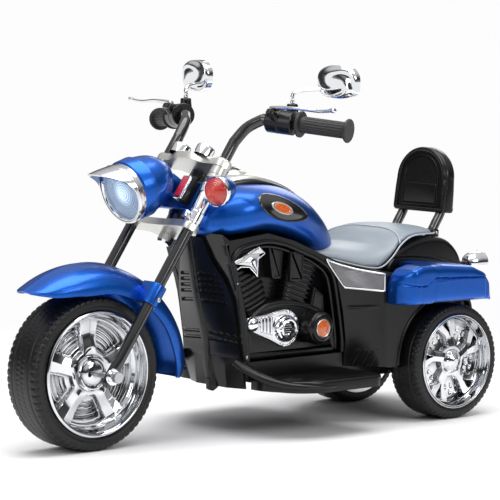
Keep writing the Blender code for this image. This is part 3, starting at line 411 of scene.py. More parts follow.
def rear_face(r, a):
    """Swept spokes: an angle that drifts with the radius, and a slot that opens outwards."""
    turn = a + np.pi / 2 + 5.0 * (r - 0.03)
    sector = (turn % (2 * np.pi / 5)) - np.pi / 5
    off = np.abs(sector) * r
    spoke = 0.0085 + 0.014 * smooth_step(r, 0.040, 0.072)
    slot = smooth_step(-off, -(0.0015 + 0.008 * smooth_step(r, 0.048, 0.070)), 0.0)
    slot *= smooth_step(r, 0.045, 0.050) * smooth_step(-r, -0.0715, -0.0690)
    pocket = smooth_step(off, spoke, spoke + 0.002) * smooth_step(r, 0.026, 0.029)
    pocket *= smooth_step(-r, -0.0722, -0.0705)
    ridge = 0.0018 * np.clip(1 - off / spoke, 0, 1)
    body = 0.0185 + 0.003 * smooth_step(-r, -0.045, -0.022) + ridge
    holes = np.maximum(0, np.cos(22 * a)) * np.exp(-((r - 0.058) / 0.003) ** 2)
    holes += np.maximum(0, np.cos(22 * a + 1.5)) * np.exp(-((r - 0.047) / 0.003) ** 2)
    y = body - 0.0095 * np.maximum(pocket, slot) - 0.0022 * holes * np.maximum(pocket, slot)
    y = np.where(r > 0.0735, 0.0165 + 0.010 * smooth_step(r, 0.0735, 0.0775), y)
    lip = smooth_step(r, 0.0768, 0.0782)
    y = y * (1 - lip) + lip * (REAR_EDGE + 0.0013 * np.abs(np.sin(np.pi * np.clip(
        (r - 0.0770) / 0.0030, 0, 2))))
    studs = 0.0012 * np.maximum(0, np.cos(10 * a)) * np.exp(-((r - 0.0165) / 0.0016) ** 2)
    cone = 0.0215 + 0.0135 * np.clip(1 - r / 0.021, 0, 1) ** 0.7 + studs
    return np.where(r < 0.0210, np.minimum(cone, 0.0325), y)


REAR_RADII = np.concatenate([np.linspace(0, 0.0209, 22), np.linspace(0.0211, 0.0480, 34),
                             np.linspace(0.0485, 0.0735, 44), np.linspace(0.0738, 0.0830, 44)])
for side, word, centre in ((1, "left", REAR_LEFT), (-1, "right", REAR_RIGHT)):
    star = wheel_disc("rear_rim_star_" + word, centre, side, rear_face, REAR_RADII, 440)
    if side < 0:
        star.data.flip_normals()
    belong(star, "rear_wheel_" + word, "chrome", "rear_rim_" + word)
    barrel = [(0.0265, REAR_BEAD - 0.0006), (-0.028, REAR_BEAD - 0.0006), (-0.0335, 0.0835),
              (-0.0345, 0.0835), (-0.0345, 0.0745), (-0.028, 0.0720), (0.010, 0.0700),
              (0.016, 0.0730), (0.022, 0.0760)]
    ring = turned("rear_rim_barrel_" + word, barrel, centre, (0, side, 0), chrome, closed=True)
    belong(ring, "rear_wheel_" + word, "chrome")
    back = turned("rear_rim_web_" + word, [(0.004, 0.0706), (0.004, 0.0090), (-0.016, 0.0090),
                                           (-0.016, 0.0150), (0.001, 0.0180), (0.001, 0.0706)],
                  centre, (0, side, 0), tyre_black, closed=True)
    belong(back, "rear_wheel_" + word, "tyre")

# ---- fork legs and axles ---------------------------------------------------------------------
# Two straight 19 mm steel tubes in black enamel, pinched flat at the foot where the axle
# bolt goes through, with a short plated sleeve pushed up under the upper yoke.

RAKE = math.radians(34.9)
UP = np.array([-math.sin(RAKE), 0.0, math.cos(RAKE)])
AHEAD = np.array([math.cos(RAKE), 0.0, math.sin(RAKE)])
LEFT = np.array([0.0, 1.0, 0.0])
FORK_HALF = 0.0738
TUBE_R = 0.0095
SIDES = ((1, "left"), (-1, "right"))


def on_fork(s, n=0.0, y=0.0):
    """Points s up the fork from the axle, n ahead of the legs' plane and y to the left."""
    s, n, y = np.broadcast_arrays(s, n, y)
    return FRONT + s[..., None] * UP + n[..., None] * AHEAD + y[..., None] * LEFT


def at(behind, y, z):
    """Points given by how far ahead of the front axle they lie, their y and their height."""
    return np.stack(np.broadcast_arrays(FRONT[0] + np.asarray(behind, float), y, z), -1)


def curve(points, steps=8):
    """Points on a Catmull-Rom curve through the given ones: a cubic blend of each four."""
    p = np.asarray(points, float)
    p = np.vstack([2 * p[0] - p[1], p, 2 * p[-1] - p[-2]])
    t = np.linspace(0, 1, steps, endpoint=False)[None, :, None]
    a, b, c, d = p[:-3, None], p[1:-2, None], p[2:-1, None], p[3:, None]
    run = 0.5 * (2 * b + (c - a) * t + (2 * a - 5 * b + 4 * c - d) * t ** 2
                 + (3 * b - 3 * c + d - a) * t ** 3)
    return np.vstack([run.reshape(-1, p.shape[1]), p[-2:-1]])


def tube(name, path, radius, material, sides=28, flat=1.0, upright=(0, 0, 1), edge=0.0008,
         crease=40):
    """A round bar: circles of the given radii square to a path, with rounded ends.

    flat squeezes the circles along the direction nearest to upright.
    """
    path = np.asarray(path, float)
    radius = np.broadcast_to(np.asarray(radius, float), len(path))
    bend = np.linspace(0, np.pi / 2, 4)[:-1]
    first = (path[1] - path[0]) / np.linalg.norm(path[1] - path[0])
    last = (path[-1] - path[-2]) / np.linalg.norm(path[-1] - path[-2])
    draw, shrink = edge * (1 - np.cos(bend)), edge * (1 - np.sin(bend))
    path = np.vstack([path[0] + first * draw[:, None], path[:1] + first * edge, path[1:-1],
                      path[-1:] - last * edge, (path[-1] - last * draw[:, None])[::-1]])
    radius = np.concatenate([radius[0] - shrink, radius, (radius[-1] - shrink)[::-1]])
    along = np.gradient(path, axis=0)
    along /= np.linalg.norm(along, axis=1, keepdims=True)
    across = np.cross(along, upright)
    across /= np.linalg.norm(across, axis=1, keepdims=True)
    lift = np.cross(across, along)
    turn = np.linspace(0, 2 * np.pi, sides, endpoint=False)[None, :, None]
    points = path[:, None] + radius[:, None, None] * (
        across[:, None] * np.cos(turn) + flat * lift[:, None] * np.sin(turn))
    return skin(name, points, material, close_columns=True, cap=True, crease=crease)


enamel = finish("black_enamel", (0.010, 0.010, 0.011), 0.16, grain=(500.0, 0.00002),
                cloud=(14.0, 0.2), rough_cloud=0.05, coat=0.6)
zinc = finish("zinc_plate", (0.52, 0.52, 0.54), 0.30, metal=1.0, grain=(1200.0, 0.00003),
              cloud=(60.0, 0.12), rough_cloud=0.08)
for side, word in SIDES:
    s = np.concatenate([[-0.0200, -0.0195, -0.0180, -0.0150], np.linspace(-0.010, 0.014, 9),
                        np.linspace(0.03, 0.3715, 12)])
    turn = np.linspace(0, 2 * np.pi, 40, endpoint=False)
    pinch = smooth_step(s, -0.004, 0.022)[:, None]
    wide = (0.0095 + 0.0022 * (1 - pinch)) * np.sqrt(np.clip(
        1 - np.clip((-0.0085 - s[:, None]) / 0.0119, 0, 1) ** 2, 0.02, 1))
    thin = 0.0095 * pinch + 0.0052 * (1 - pinch)
    leg = on_fork(s[:, None], wide * np.cos(turn), side * FORK_HALF + thin * np.sin(turn))
    leg = skin("fork_tube_" + word, leg, enamel, close_columns=True, cap=True)
    belong(leg, "steering", "black_steel", "fork_leg_" + word)
    sleeve = [(0.3120, 0.0100), (0.3120, 0.0118), (0.3128, 0.0124), (0.3560, 0.0124),
              (0.3572, 0.0118), (0.3580, 0.0112), (0.3735, 0.0112), (0.3735, 0.0100)]
    sleeve = turned("leg_sleeve_" + word, sleeve, on_fork(0, 0, side * FORK_HALF), UP, chrome,
                    closed=True)
    belong(sleeve, "steering", "chrome")
    washer = [(0.0056, 0.0), (0.0056, 0.0135), (0.0064, 0.0140), (0.0074, 0.0136),
              (0.0080, 0.0125), (0.0080, 0.0088), (0.0132, 0.0082), (0.0142, 0.0066),
              (0.0142, 0.0052), (0.0128, 0.0040), (0.0128, 0.0)]
    washer = turned("axle_nut_" + word, washer, on_fork(0, 0, side * FORK_HALF), (0, side, 0),
                    chrome, crease=28)
    belong(washer, "steering", "zinc_steel")


def coat(node_names, material):
    """The frame's own nodes keep their shape and take a finish."""
    for node in node_names:
        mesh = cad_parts[node].data
        mesh.materials.clear()
        mesh.materials.append(material)


coat(("front_axle", "rear_axle", "steering_stem"), zinc)
coat(("head_tube",), enamel)

# ---- yokes -----------------------------------------------------------------------------------
# Two cast plates in satin silver clamp the legs. Both have a raised line along the edge;
# the upper one carries two cups for the risers and a domed stem nut.

silver = finish("satin_silver", (0.62, 0.61, 0.57), 0.30, metal=0.85, grain=(1600.0, 0.00002),
                cloud=(25.0, 0.06), rough_cloud=0.06)


def rounded(points, radius, steps=6):
    """A closed outline with each corner cut back by radius and bridged by a parabola."""
    p = np.asarray(points, float)
    radius = np.broadcast_to(np.asarray(radius, float), len(p))[:, None]
    before, after = np.roll(p, 1, 0) - p, np.roll(p, -1, 0) - p
    back, on = (np.linalg.norm(v, axis=1, keepdims=True) for v in (before, after))
    a = p + before / back * np.minimum(radius, 0.48 * back)
    b = p + after / on * np.minimum(radius, 0.48 * on)
    t = np.linspace(0, 1, steps)[None, :, None]
    return ((1 - t) ** 2 * a[:, None] + 2 * t * (1 - t) * p[:, None]
            + t ** 2 * b[:, None]).reshape(-1, 2)


def plate(name, outline, place, low, high, material, edge=0.001, crown=0.0, groove=0.0,
          groove_at=0.004, crease=35, both=False):
    """A piece cut to a closed outline (u, v) that stands from low to high on a place.

    Each row is the outline drawn in along its normals, at a height: up the wall, round the
    edge by a quarter circle, over a raised line if there is a groove, then up to a crown.
    """
    outline = np.asarray(outline, float)
    run = np.roll(outline, -1, 0) - np.roll(outline, 1, 0)
    run /= np.maximum(np.linalg.norm(run, axis=1, keepdims=True), 1e-9)
    u, v = outline.T
    sign = np.sign(np.sum(u * np.roll(v, -1) - v * np.roll(u, -1)))
    inward = np.stack([-run[:, 1], run[:, 0]], -1) * sign
    a = np.linspace(0, np.pi / 2, 5)
    inset, height = edge * (1 - np.cos(a)), high - edge + edge * np.sin(a)
    if both:
        inset = np.concatenate([inset[::-1], inset])
        height = np.concatenate([(low + high) - height[::-1], height])
    else:
        inset, height = np.concatenate([[0], inset]), np.concatenate([[low], height])
    if groove:
        bead = edge + groove_at * np.array([0.35, 0.5, 0.65, 1.0, 1.15])
        inset = np.concatenate([inset, bead])
        height = np.concatenate([height, high - groove * np.array([0, 0.5, 1, 1, 0.6])])
    rows = outline[None] + inward[None] * inset[:, None, None]
    if crown:
        middle = rows[-1].mean(0)
        shrink = np.linspace(1, 0.05, 9)[1:, None, None]
        rows = np.concatenate([rows, middle + (rows[-1:] - middle) * shrink])
        height = np.concatenate([height, height[-1] + crown * (1 - shrink[:, 0, 0] ** 2)])
    points = place(rows[..., 0], rows[..., 1], np.broadcast_to(height[:, None], rows.shape[:2]))
    return skin(name, points, material, close_columns=True, cap=True, crease=crease)


def screw(name, place_point, axis, radius, body, slot, material, height=0.0022):
    """A pan head screw: a dome with a round socket sunk in its middle."""
    profile = [(-0.001, radius * 0.8), (0, radius), (height * 0.45, radius),
               (height * 0.85, radius * 0.78), (height, radius * 0.45),
               (height * 0.35, radius * 0.40), (height * 0.35, 0)]
    return belong(turned(name, profile, place_point, axis, material, 24, crease=30), body, slot)


def fork_plan(n, y, s):
    return on_fork(s, n, y)


def yoke_plan(ahead, behind, reach):
    """Half discs round the two legs, joined by a waist that is fuller in the middle."""
    y = np.linspace(-1, 1, 61)
    lobe = reach - FORK_HALF
    lobes = np.sqrt(np.clip(lobe ** 2 - np.clip(np.abs(y) * reach - FORK_HALF, 0, lobe) ** 2, 0, 1))
    hump = np.exp(-(y * reach / 0.034) ** 4)
    front = np.stack([lobes + (ahead - lobe) * hump, y * reach], -1)
    back = np.stack([-lobes - (behind - lobe) * hump, y * reach], -1)[::-1]
    return np.vstack([front, back[1:-1]])


for name, node, low, high, ahead in (("upper_yoke_casting", "upper_yoke", 0.3985, 0.4120, 0.030),
                                     ("lower_yoke_casting", "lower_yoke", 0.2770, 0.2905, 0.012)):
    casting = plate(name, yoke_plan(ahead, 0.036, 0.0895), fork_plan, low, high, silver,
                    edge=0.0022, groove=0.0012, groove_at=0.005)
    belong(casting, "steering", "silver", node)
for side, word in SIDES:
    for name, low, high, made in (("upper_collar_", 0.3745, 0.4140, silver),
                                  ("lower_collar_", 0.2850, 0.3118, chrome)):
        profile = [(low, 0.0100), (low, 0.0132), (low + 0.001, 0.0142), (low + 0.006, 0.0142),
                   (low + 0.0068, 0.0135), (low + 0.0090, 0.0135), (low + 0.0098, 0.0142),
                   (high - 0.001, 0.0142), (high, 0.0132), (high, 0.0100)]
        collar = turned(name + word, profile, on_fork(0, 0, side * FORK_HALF), UP, made,
                        closed=True)
        belong(collar, "steering", "silver")
    cup = [(0.411, 0.0165), (0.4265, 0.0165), (0.4285, 0.0158), (0.4298, 0.0145),
           (0.4298, 0.0122), (0.4240, 0.0110), (0.4240, 0.0075), (0.4275, 0.0070),
           (0.4280, 0.0)]
    cup = turned("riser_cup_" + word, cup, on_fork(0, 0.013, side * 0.031), UP, chrome)
    belong(cup, "steering", "silver")
    for n in (-0.010, -0.026):
        screw("yoke_screw_%s_%d" % (word, -n * 1000), on_fork(0.4121, n, side * 0.050), UP,
              0.0042, "steering", "zinc_steel", chrome, 0.003)
    ear = plate("collar_ear_" + word, rounded([(0.010, -0.006), (0.024, -0.006), (0.024, 0.006),
                                               (0.010, 0.006)], 0.004),
                lambda n, y, s, o=side: on_fork(s, n, o * FORK_HALF + y), 0.2935, 0.3045, chrome)
    belong(ear, "steering", "silver")
    screw("collar_bolt_" + word, on_fork(0.299, 0.018, side * (FORK_HALF + 0.0065)),
          (0, side, 0), 0.0046, "steering", "zinc_steel", zinc, 0.003)
nut = [(0.2600, 0.0), (0.2600, 0.0105), (0.2640, 0.0128), (0.2765, 0.0128), (0.2765, 0.0)]
belong(turned("stem_bolt", nut, on_fork(0, -0.022), UP, chrome, 6, crease=20), "steering",
       "zinc_steel")
dome = [(0.4120, 0.0), (0.4120, 0.0130), (0.4180, 0.0125), (0.4215, 0.0095), (0.4225, 0.0)]
belong(turned("stem_cap", dome, on_fork(0, -0.022), UP, chrome), "steering", "zinc_steel",
       "steering_stem")

# ---- handlebars, grips and levers ------------------------------------------------------------
# Two bent 19 mm tubes rise from the legs and pull back. Ribbed rubber grips, black switch
# housings, plated ball-ended levers and plated mirrors sit on their ends.

GRIP_END = np.array([FRONT[0] - 0.3583, 0.2474, 0.5202])
GRIP_RUN = np.array([-0.385, 0.918, -0.096]) / np.linalg.norm([-0.385, 0.918, -0.096])
rubber = finish("grip_rubber", (0.014, 0.014, 0.015), 0.52, grain=(1500.0, 0.00008),
                cloud=(40.0, 0.2), rough_cloud=0.07)
satin_black = finish("satin_black_moulding", (0.0058, 0.0058, 0.0062), 0.23,
                     grain=(1100.0, 0.00003), cloud=(12.0, 0.25), rough_cloud=0.06,
                     specular=0.30)


def mirrored(point, side):
    return np.asarray(point, float) * np.array([1.0, side, 1.0])


def bar_point(inward):
    """A point on the left bar's straight end, measured in from its tip."""
    return GRIP_END - GRIP_RUN * inward


for side, word in SIDES:
    knee = on_fork(0.452, 0, FORK_HALF)
    bend = (knee + bar_point(0.158)) / 2 + np.array([-0.001, -0.006, 0.004])
    path = np.vstack([on_fork(0.3720, 0, FORK_HALF), on_fork(0.40, 0, FORK_HALF),
                      on_fork(0.430, 0, FORK_HALF), curve([knee, bend, bar_point(0.158)], 12),
                      [bar_point(0.12), bar_point(0.003)]])
    bar = tube("bar_tube_" + word, mirrored(path, side), TUBE_R, enamel, upright=(1, 0, 0))
    belong(bar, "steering", "black_steel", "handlebar_" + word)

    tip, run = mirrored(GRIP_END, side), mirrored(GRIP_RUN, side)
    first = np.cross(run, (0, 0, 1.0))
    first /= np.linalg.norm(first)
    second = np.cross(run, first)
    along = np.array([-0.0918, -0.0905, -0.0875, -0.0862, -0.0858, -0.0800, -0.0785, -0.0100,
                      -0.0085, -0.0052, -0.0048, -0.0035, -0.0012, 0.0, 0.0])
    radius = np.array([0.0205, 0.0219, 0.0219, 0.0205, 0.0140, 0.0135, 0.0128, 0.0128,
                       0.0135, 0.0140, 0.0188, 0.0199, 0.0199, 0.0188, 0.0])
    turn = np.linspace(0, 2 * np.pi, 216, endpoint=False)
    rib = 0.0011 * np.clip(0.5 + 1.3 * np.cos(18 * turn), 0, 1)
    ribbed = np.where((along > -0.079) & (along < -0.0090), 1.0, 0.0)[:, None] * rib[None, :]
    r = radius[:, None] + ribbed
    points = tip + run * along[:, None, None] + r[..., None] * (
        first * np.cos(turn)[None, :, None] + second * np.sin(turn)[None, :, None])
    grip = skin("grip_rubber_" + word, points, rubber, close_columns=True, cap=True, crease=45)
    belong(grip, "steering", "rubber", "grip_" + word)

    housing = [(-0.148, 0.0100), (-0.148, 0.0188), (-0.1465, 0.0203), (-0.126, 0.0205),
               (-0.1250, 0.0198), (-0.1235, 0.0198), (-0.1225, 0.0205), (-0.1015, 0.0203),
               (-0.1000, 0.0188), (-0.1000, 0.0100)]
    belong(turned("switch_shell_" + word, housing, tip, run, satin_black, closed=True),
           "steering", "black_plastic", "switch_housing_" + word)
    foot = bar_point(0.118) + np.array([-0.016, 0, 0.030])
    boss = [(-0.022, 0.0115), (-0.010, 0.0098), (-0.0015, 0.0094), (0.0, 0.0080), (0.0, 0.0)]
    belong(turned("mirror_boss_" + word, boss, mirrored(foot, side), (0, 0, 1), satin_black),
           "steering", "black_plastic")
    pivot = bar_point(0.122) + AHEAD * 0.030 + UP * 0.006
    middle = bar_point(0.124)
    bracket = tube("lever_bracket_" + word, mirrored(curve(
        [middle + AHEAD * 0.010 - UP * 0.004, (middle + pivot) / 2 - UP * 0.010,
         pivot - UP * 0.0088], 5), side), [0.0085] * 11, satin_black, flat=0.52, edge=0.002,
        upright=tuple(UP))
    belong(bracket, "steering", "black_plastic")
    ear = [(-0.0125, 0.0), (-0.0125, 0.0080), (-0.0115, 0.0090), (-0.0055, 0.0090),
           (-0.0045, 0.0080), (-0.0045, 0.0)]
    belong(turned("lever_ear_" + word, ear, mirrored(pivot, side), UP, satin_black), "steering",
           "black_plastic")
    screw("housing_screw_" + word, mirrored(bar_point(0.136) + AHEAD * 0.0195, side), AHEAD,
          0.0036, "steering", "black_plastic", zinc)

    lever_tip = np.array([FRONT[0] - 0.3065, 0.2680, 0.5560])
    path = curve([pivot + np.array([0, -0.006, 0]),
                  pivot + 0.30 * (lever_tip - pivot) + AHEAD * 0.004,
                  pivot + 0.72 * (lever_tip - pivot) - AHEAD * 0.004, lever_tip], 12)
    t = np.linspace(0, 1, len(path))
    thick = 0.0056 - 0.0022 * smooth_step(t, 0.0, 0.35) + 0.0018 * smooth_step(t, 0.88, 0.95)
    lever = tube("brake_lever_" + word, mirrored(path, side), thick, chrome, flat=0.72,
                 edge=0.0022, upright=tuple(UP))
    belong(lever, "lever_" + word, "chrome", "lever_" + word)

    head = at(-0.389, side * 0.1835, 0.598)
    sweep = math.radians(8)
    wide = np.array([-math.sin(sweep), side * math.cos(sweep), 0])
    back = np.cross(wide, (0, 0, 1.0)) * side
    stem = curve([mirrored(foot, side) + np.array([0, 0, 0.0004]),
                  mirrored(foot, side) + np.array([-0.006, side * 0.002, 0.020]),
                  head - wide * 0.030 + np.array([0, 0, -0.012]) + back * 0.004], 10)
    t = np.linspace(0, 1, len(stem))
    stem = tube("mirror_stem_" + word, stem, 0.0040 - 0.0008 * t, chrome, edge=0.001)
    belong(stem, "mirror_" + word, "chrome")
    u, v = np.meshgrid(np.linspace(0, 2 * np.pi, 72, endpoint=False), np.linspace(0, 1, 22))
    reach = np.sin(v * np.pi / 2) ** 0.62
    c, s = np.cos(u), np.sin(u)
    corner = 1 + 0.09 * np.exp(-((np.cos(u - 5.45) - 1) / 0.12) ** 2)
    y = np.sign(c) * np.abs(c) ** 0.78 * 0.0420 * reach * corner
    z = np.sign(s) * np.abs(s) ** 0.78 * 0.0278 * reach
    swirl = 0.0012 * np.sin(3 * u + 9 * v) * smooth_step(v, 0.1, 0.3) * smooth_step(-v, -0.9, -0.6)
    depth = 0.0088 * np.cos(v * np.pi / 2) ** 0.8 + swirl
    shell_points = head + y[..., None] * wide + z[..., None] * np.array([0, 0, 1.0]) + \
        (depth[..., None]) * back
    rim = np.stack([shell_points[-1] - back * d for d in (0.002, 0.0070, 0.0086)])
    squeeze = head + (rim[-1] - head) * 0.93 + back * 0.0002
    glass_seat = head + (rim[-1] - head) * 0.91 + back * 0.0012
    points = np.concatenate([shell_points, rim, squeeze[None], glass_seat[None]])
    shell = skin("mirror_shell_" + word, points, chrome, close_columns=True, cap=True, crease=50)
    belong(shell, "mirror_" + word, "chrome", "mirror_" + word)
    silvered = finish("mirror_glass_" + word, (0.90, 0.91, 0.92), 0.03, metal=1.0,
                      grain=(200.0, 0.0), cloud=(4.0, 0.02), rough_cloud=0.01)
    glass_line = np.stack([np.sign(c[0]) * np.abs(c[0]) ** 0.78 * 0.0375,
                           np.sign(s[0]) * np.abs(s[0]) ** 0.78 * 0.0240], -1)
    glass = plate("mirror_glass_" + word, glass_line,
                  lambda a, b, w, h=head, q=wide, k=back: h + a[..., None] * q
                  + b[..., None] * np.array([0, 0, 1.0]) - w[..., None] * k,
                  0.0060, 0.0080, silvered, edge=0.0005)
    belong(glass, "mirror_" + word, "chrome")

# ---- headlight -------------------------------------------------------------------------------
# A spun-looking bullet of painted plastic with a wider band at its mouth. A plated ring with
# a long peak holds a clear lens; a lamp behind it is lit.


def paint(name, base, light_shade):
    """Metallic paint: fine flakes shift shade and gloss under a clear glossy coat."""
    made = finish(name, base, 0.34, metal=0.85, grain=(420.0, 0.000025), cloud=(7.0, 0.10),
                  rough_cloud=0.05, coat=0.32, coat_rough=0.12, specular=0.3)
    tree = made.node_tree
    shader = tree.nodes["Principled BSDF"]
    place = tree.nodes["Texture Coordinate"]
    flake = tree.nodes.new("ShaderNodeTexVoronoi")
    flake.inputs["Scale"].default_value = 1900.0
    tree.links.new(place.outputs["Object"], flake.inputs["Vector"])
    speck = tree.nodes.new("ShaderNodeSeparateColor")
    tree.links.new(flake.outputs["Color"], speck.inputs["Color"])
    strength = tree.nodes.new("ShaderNodeMapRange")
    strength.inputs["From Min"].default_value = 0.55
    strength.inputs["To Max"].default_value = 0.55
    tree.links.new(speck.outputs["Red"], strength.inputs["Value"])
    blend = tree.nodes.new("ShaderNodeMix")
    blend.data_type = "RGBA"
    blend.inputs[7].default_value = (*light_shade, 1)
    base_link = shader.inputs["Base Color"].links[0].from_socket
    tree.links.new(base_link, blend.inputs[6])
    tree.links.new(strength.outputs["Result"], blend.inputs["Factor"])
    tree.links.new(blend.outputs[2], shader.inputs["Base Color"])
    return made


blue = paint("metallic_blue_paint", (0.0030, 0.078, 0.42), (0.012, 0.19, 0.72))
LAMP_CENTRE = at(-0.079, 0.0, 0.414)
LAMP_DIP = math.radians(17.8)
BEAM = np.array([math.cos(LAMP_DIP), 0.0, -math.sin(LAMP_DIP)])
LAMP_LIFT = np.array([math.sin(LAMP_DIP), 0.0, math.cos(LAMP_DIP)])
LAMP_R = 0.0520

bullet = curve([(-0.104, 0.0001), (-0.1015, 0.012), (-0.090, 0.0285), (-0.070, 0.0425),
                (-0.0425, 0.0490), (-0.0380, 0.0494)], 10)
band = [(-0.0375, 0.0512), (-0.0365, 0.0519), (-0.0150, 0.0520), (-0.0138, 0.0516),
        (-0.0128, 0.0508), (-0.0120, 0.0500), (-0.0120, 0.0480), (-0.040, 0.0475)]
shell = turned("headlight_bullet", np.vstack([[(-0.104, 0.0)], bullet[1:], band]), LAMP_CENTRE,
               BEAM, blue, 96, crease=30)
belong(shell, "steering", "blue_paint", "headlight_shell")

satin_chrome = finish("satin_plating", (0.70, 0.71, 0.73), 0.17, metal=1.0,
                      grain=(700.0, 0.00001), cloud=(12.0, 0.05), rough_cloud=0.04)
turn = np.linspace(0, 2 * np.pi, 160, endpoint=False)
peak = 0.004 + 0.046 * np.maximum(np.cos(turn), 0.0) ** 2.2
flare = 0.0035 * peak / 0.05
t = np.linspace(0, 1, 14)
outer_r = LAMP_R - 0.0026 + flare[:, None] * t + 0.0012 * np.sin(np.pi * t)
inner_r = outer_r[:, ::-1] - 0.0022
along = np.concatenate([-0.012 + (peak[:, None] + 0.012) * t,
                        (-0.012 + (peak[:, None] + 0.012) * t)[:, ::-1]], 1)
bead = np.exp(-((along - 0.001) / 0.0016) ** 2) * 0.0009
reach = np.concatenate([outer_r, inner_r], 1) + bead * np.concatenate(
    [np.ones(14), np.zeros(14)])[None, :]
out = LAMP_LIFT * np.cos(turn)[:, None] + LEFT * np.sin(turn)[:, None]
points = LAMP_CENTRE + BEAM * along[..., None] + out[:, None] * reach[..., None]
hood = skin("headlight_peak", points, satin_chrome, close_rows=True, close_columns=True,
            crease=50)
belong(hood, "steering", "chrome", "headlight_trim")
ring = [(-0.0115, 0.0478), (-0.0115, 0.0440), (-0.0035, 0.0436), (0.0012, 0.0440),
        (0.0030, 0.0452), (0.0032, 0.0466), (0.0020, 0.0474)]
belong(turned("headlight_ring", ring, LAMP_CENTRE, BEAM, chrome, 96, closed=True), "steering",
       "chrome")


def lens_material(name, base, rings_at, spread, glow_colour, glow, ring_scale, rough=0.08):
    """A moulded lens whose glow is brightest towards the middle and rises and falls in rings round
    its axis, standing for its prisms. On the reflector, which has no lamp, this glow is a painted
    glint.
    """
    made = finish(name, base, rough, grain=(800.0, 0.00002), cloud=(40.0, 0.05),
                  rough_cloud=0.03, coat=1.0, coat_rough=0.03)
    tree = made.node_tree
    shader = tree.nodes["Principled BSDF"]
    place = tree.nodes["Texture Coordinate"]
    centred = tree.nodes.new("ShaderNodeVectorMath")
    centred.operation = "SUBTRACT"
    centred.inputs[1].default_value = tuple(rings_at)
    far = tree.nodes.new("ShaderNodeVectorMath")
    far.operation = "LENGTH"
    tree.links.new(place.outputs["Object"], centred.inputs[0])
    tree.links.new(centred.outputs["Vector"], far.inputs[0])
    ramp = tree.nodes.new("ShaderNodeMapRange")
    ramp.inputs["From Min"].default_value = 0.0
    ramp.inputs["From Max"].default_value = spread
    ramp.inputs["To Min"].default_value = glow
    ramp.inputs["To Max"].default_value = glow * 0.12
    tree.links.new(far.outputs["Value"], ramp.inputs["Value"])
    steps = tree.nodes.new("ShaderNodeMath")
    steps.operation = "MULTIPLY"
    steps.inputs[1].default_value = ring_scale
    ripple = tree.nodes.new("ShaderNodeMath")
    ripple.operation = "SINE"
    tree.links.new(far.outputs["Value"], steps.inputs[0])
    tree.links.new(steps.outputs["Value"], ripple.inputs[0])
    level = tree.nodes.new("ShaderNodeMapRange")
    level.inputs["From Min"].default_value = -1.0
    level.inputs["To Min"].default_value = 0.45
    level.inputs["To Max"].default_value = 1.1
    tree.links.new(ripple.outputs["Value"], level.inputs["Value"])
    both = tree.nodes.new("ShaderNodeMath")
    both.operation = "MULTIPLY"
    tree.links.new(ramp.outputs["Result"], both.inputs[0])
    tree.links.new(level.outputs["Result"], both.inputs[1])
    shader.inputs["Emission Color"].default_value = (*glow_colour, 1)
    tree.links.new(both.outputs["Value"], shader.inputs["Emission Strength"])
    return made


clear = lens_material("headlight_lens_clear", (0.20, 0.28, 0.42), LAMP_CENTRE + 0.004 * BEAM,
                      0.026, (0.55, 0.76, 1.0), 1.7, 1500.0)
r = np.concatenate([np.linspace(0.0452, 0.0445, 2), np.linspace(0.0440, 0.0001, 90)])
dome = 0.0035 * (1 - (r / 0.0445) ** 2) + 0.0005 * np.cos(r * 1500) * (r < 0.043)
dome = dome + 0.0040 * np.exp(-(r / 0.0075) ** 2)
profile = np.concatenate([[(-0.010, 0.0)], [(-0.010, 0.0450)],
                          np.stack([-0.0062 + dome, r], -1), [(0.0013, 0.0)]])
belong(turned("headlight_lens_dome", profile, LAMP_CENTRE, BEAM, clear, 96, crease=60),
       "steering", "clear_lens", "headlight_lens")

# ---- panel between the fork legs, reflectors and signal lamps --------------------------------
# A blue plate closes the gap under the headlight. Two framed red reflectors stand on it, and
# a bell-shaped signal lamp with a faceted red lens hangs outside each leg.

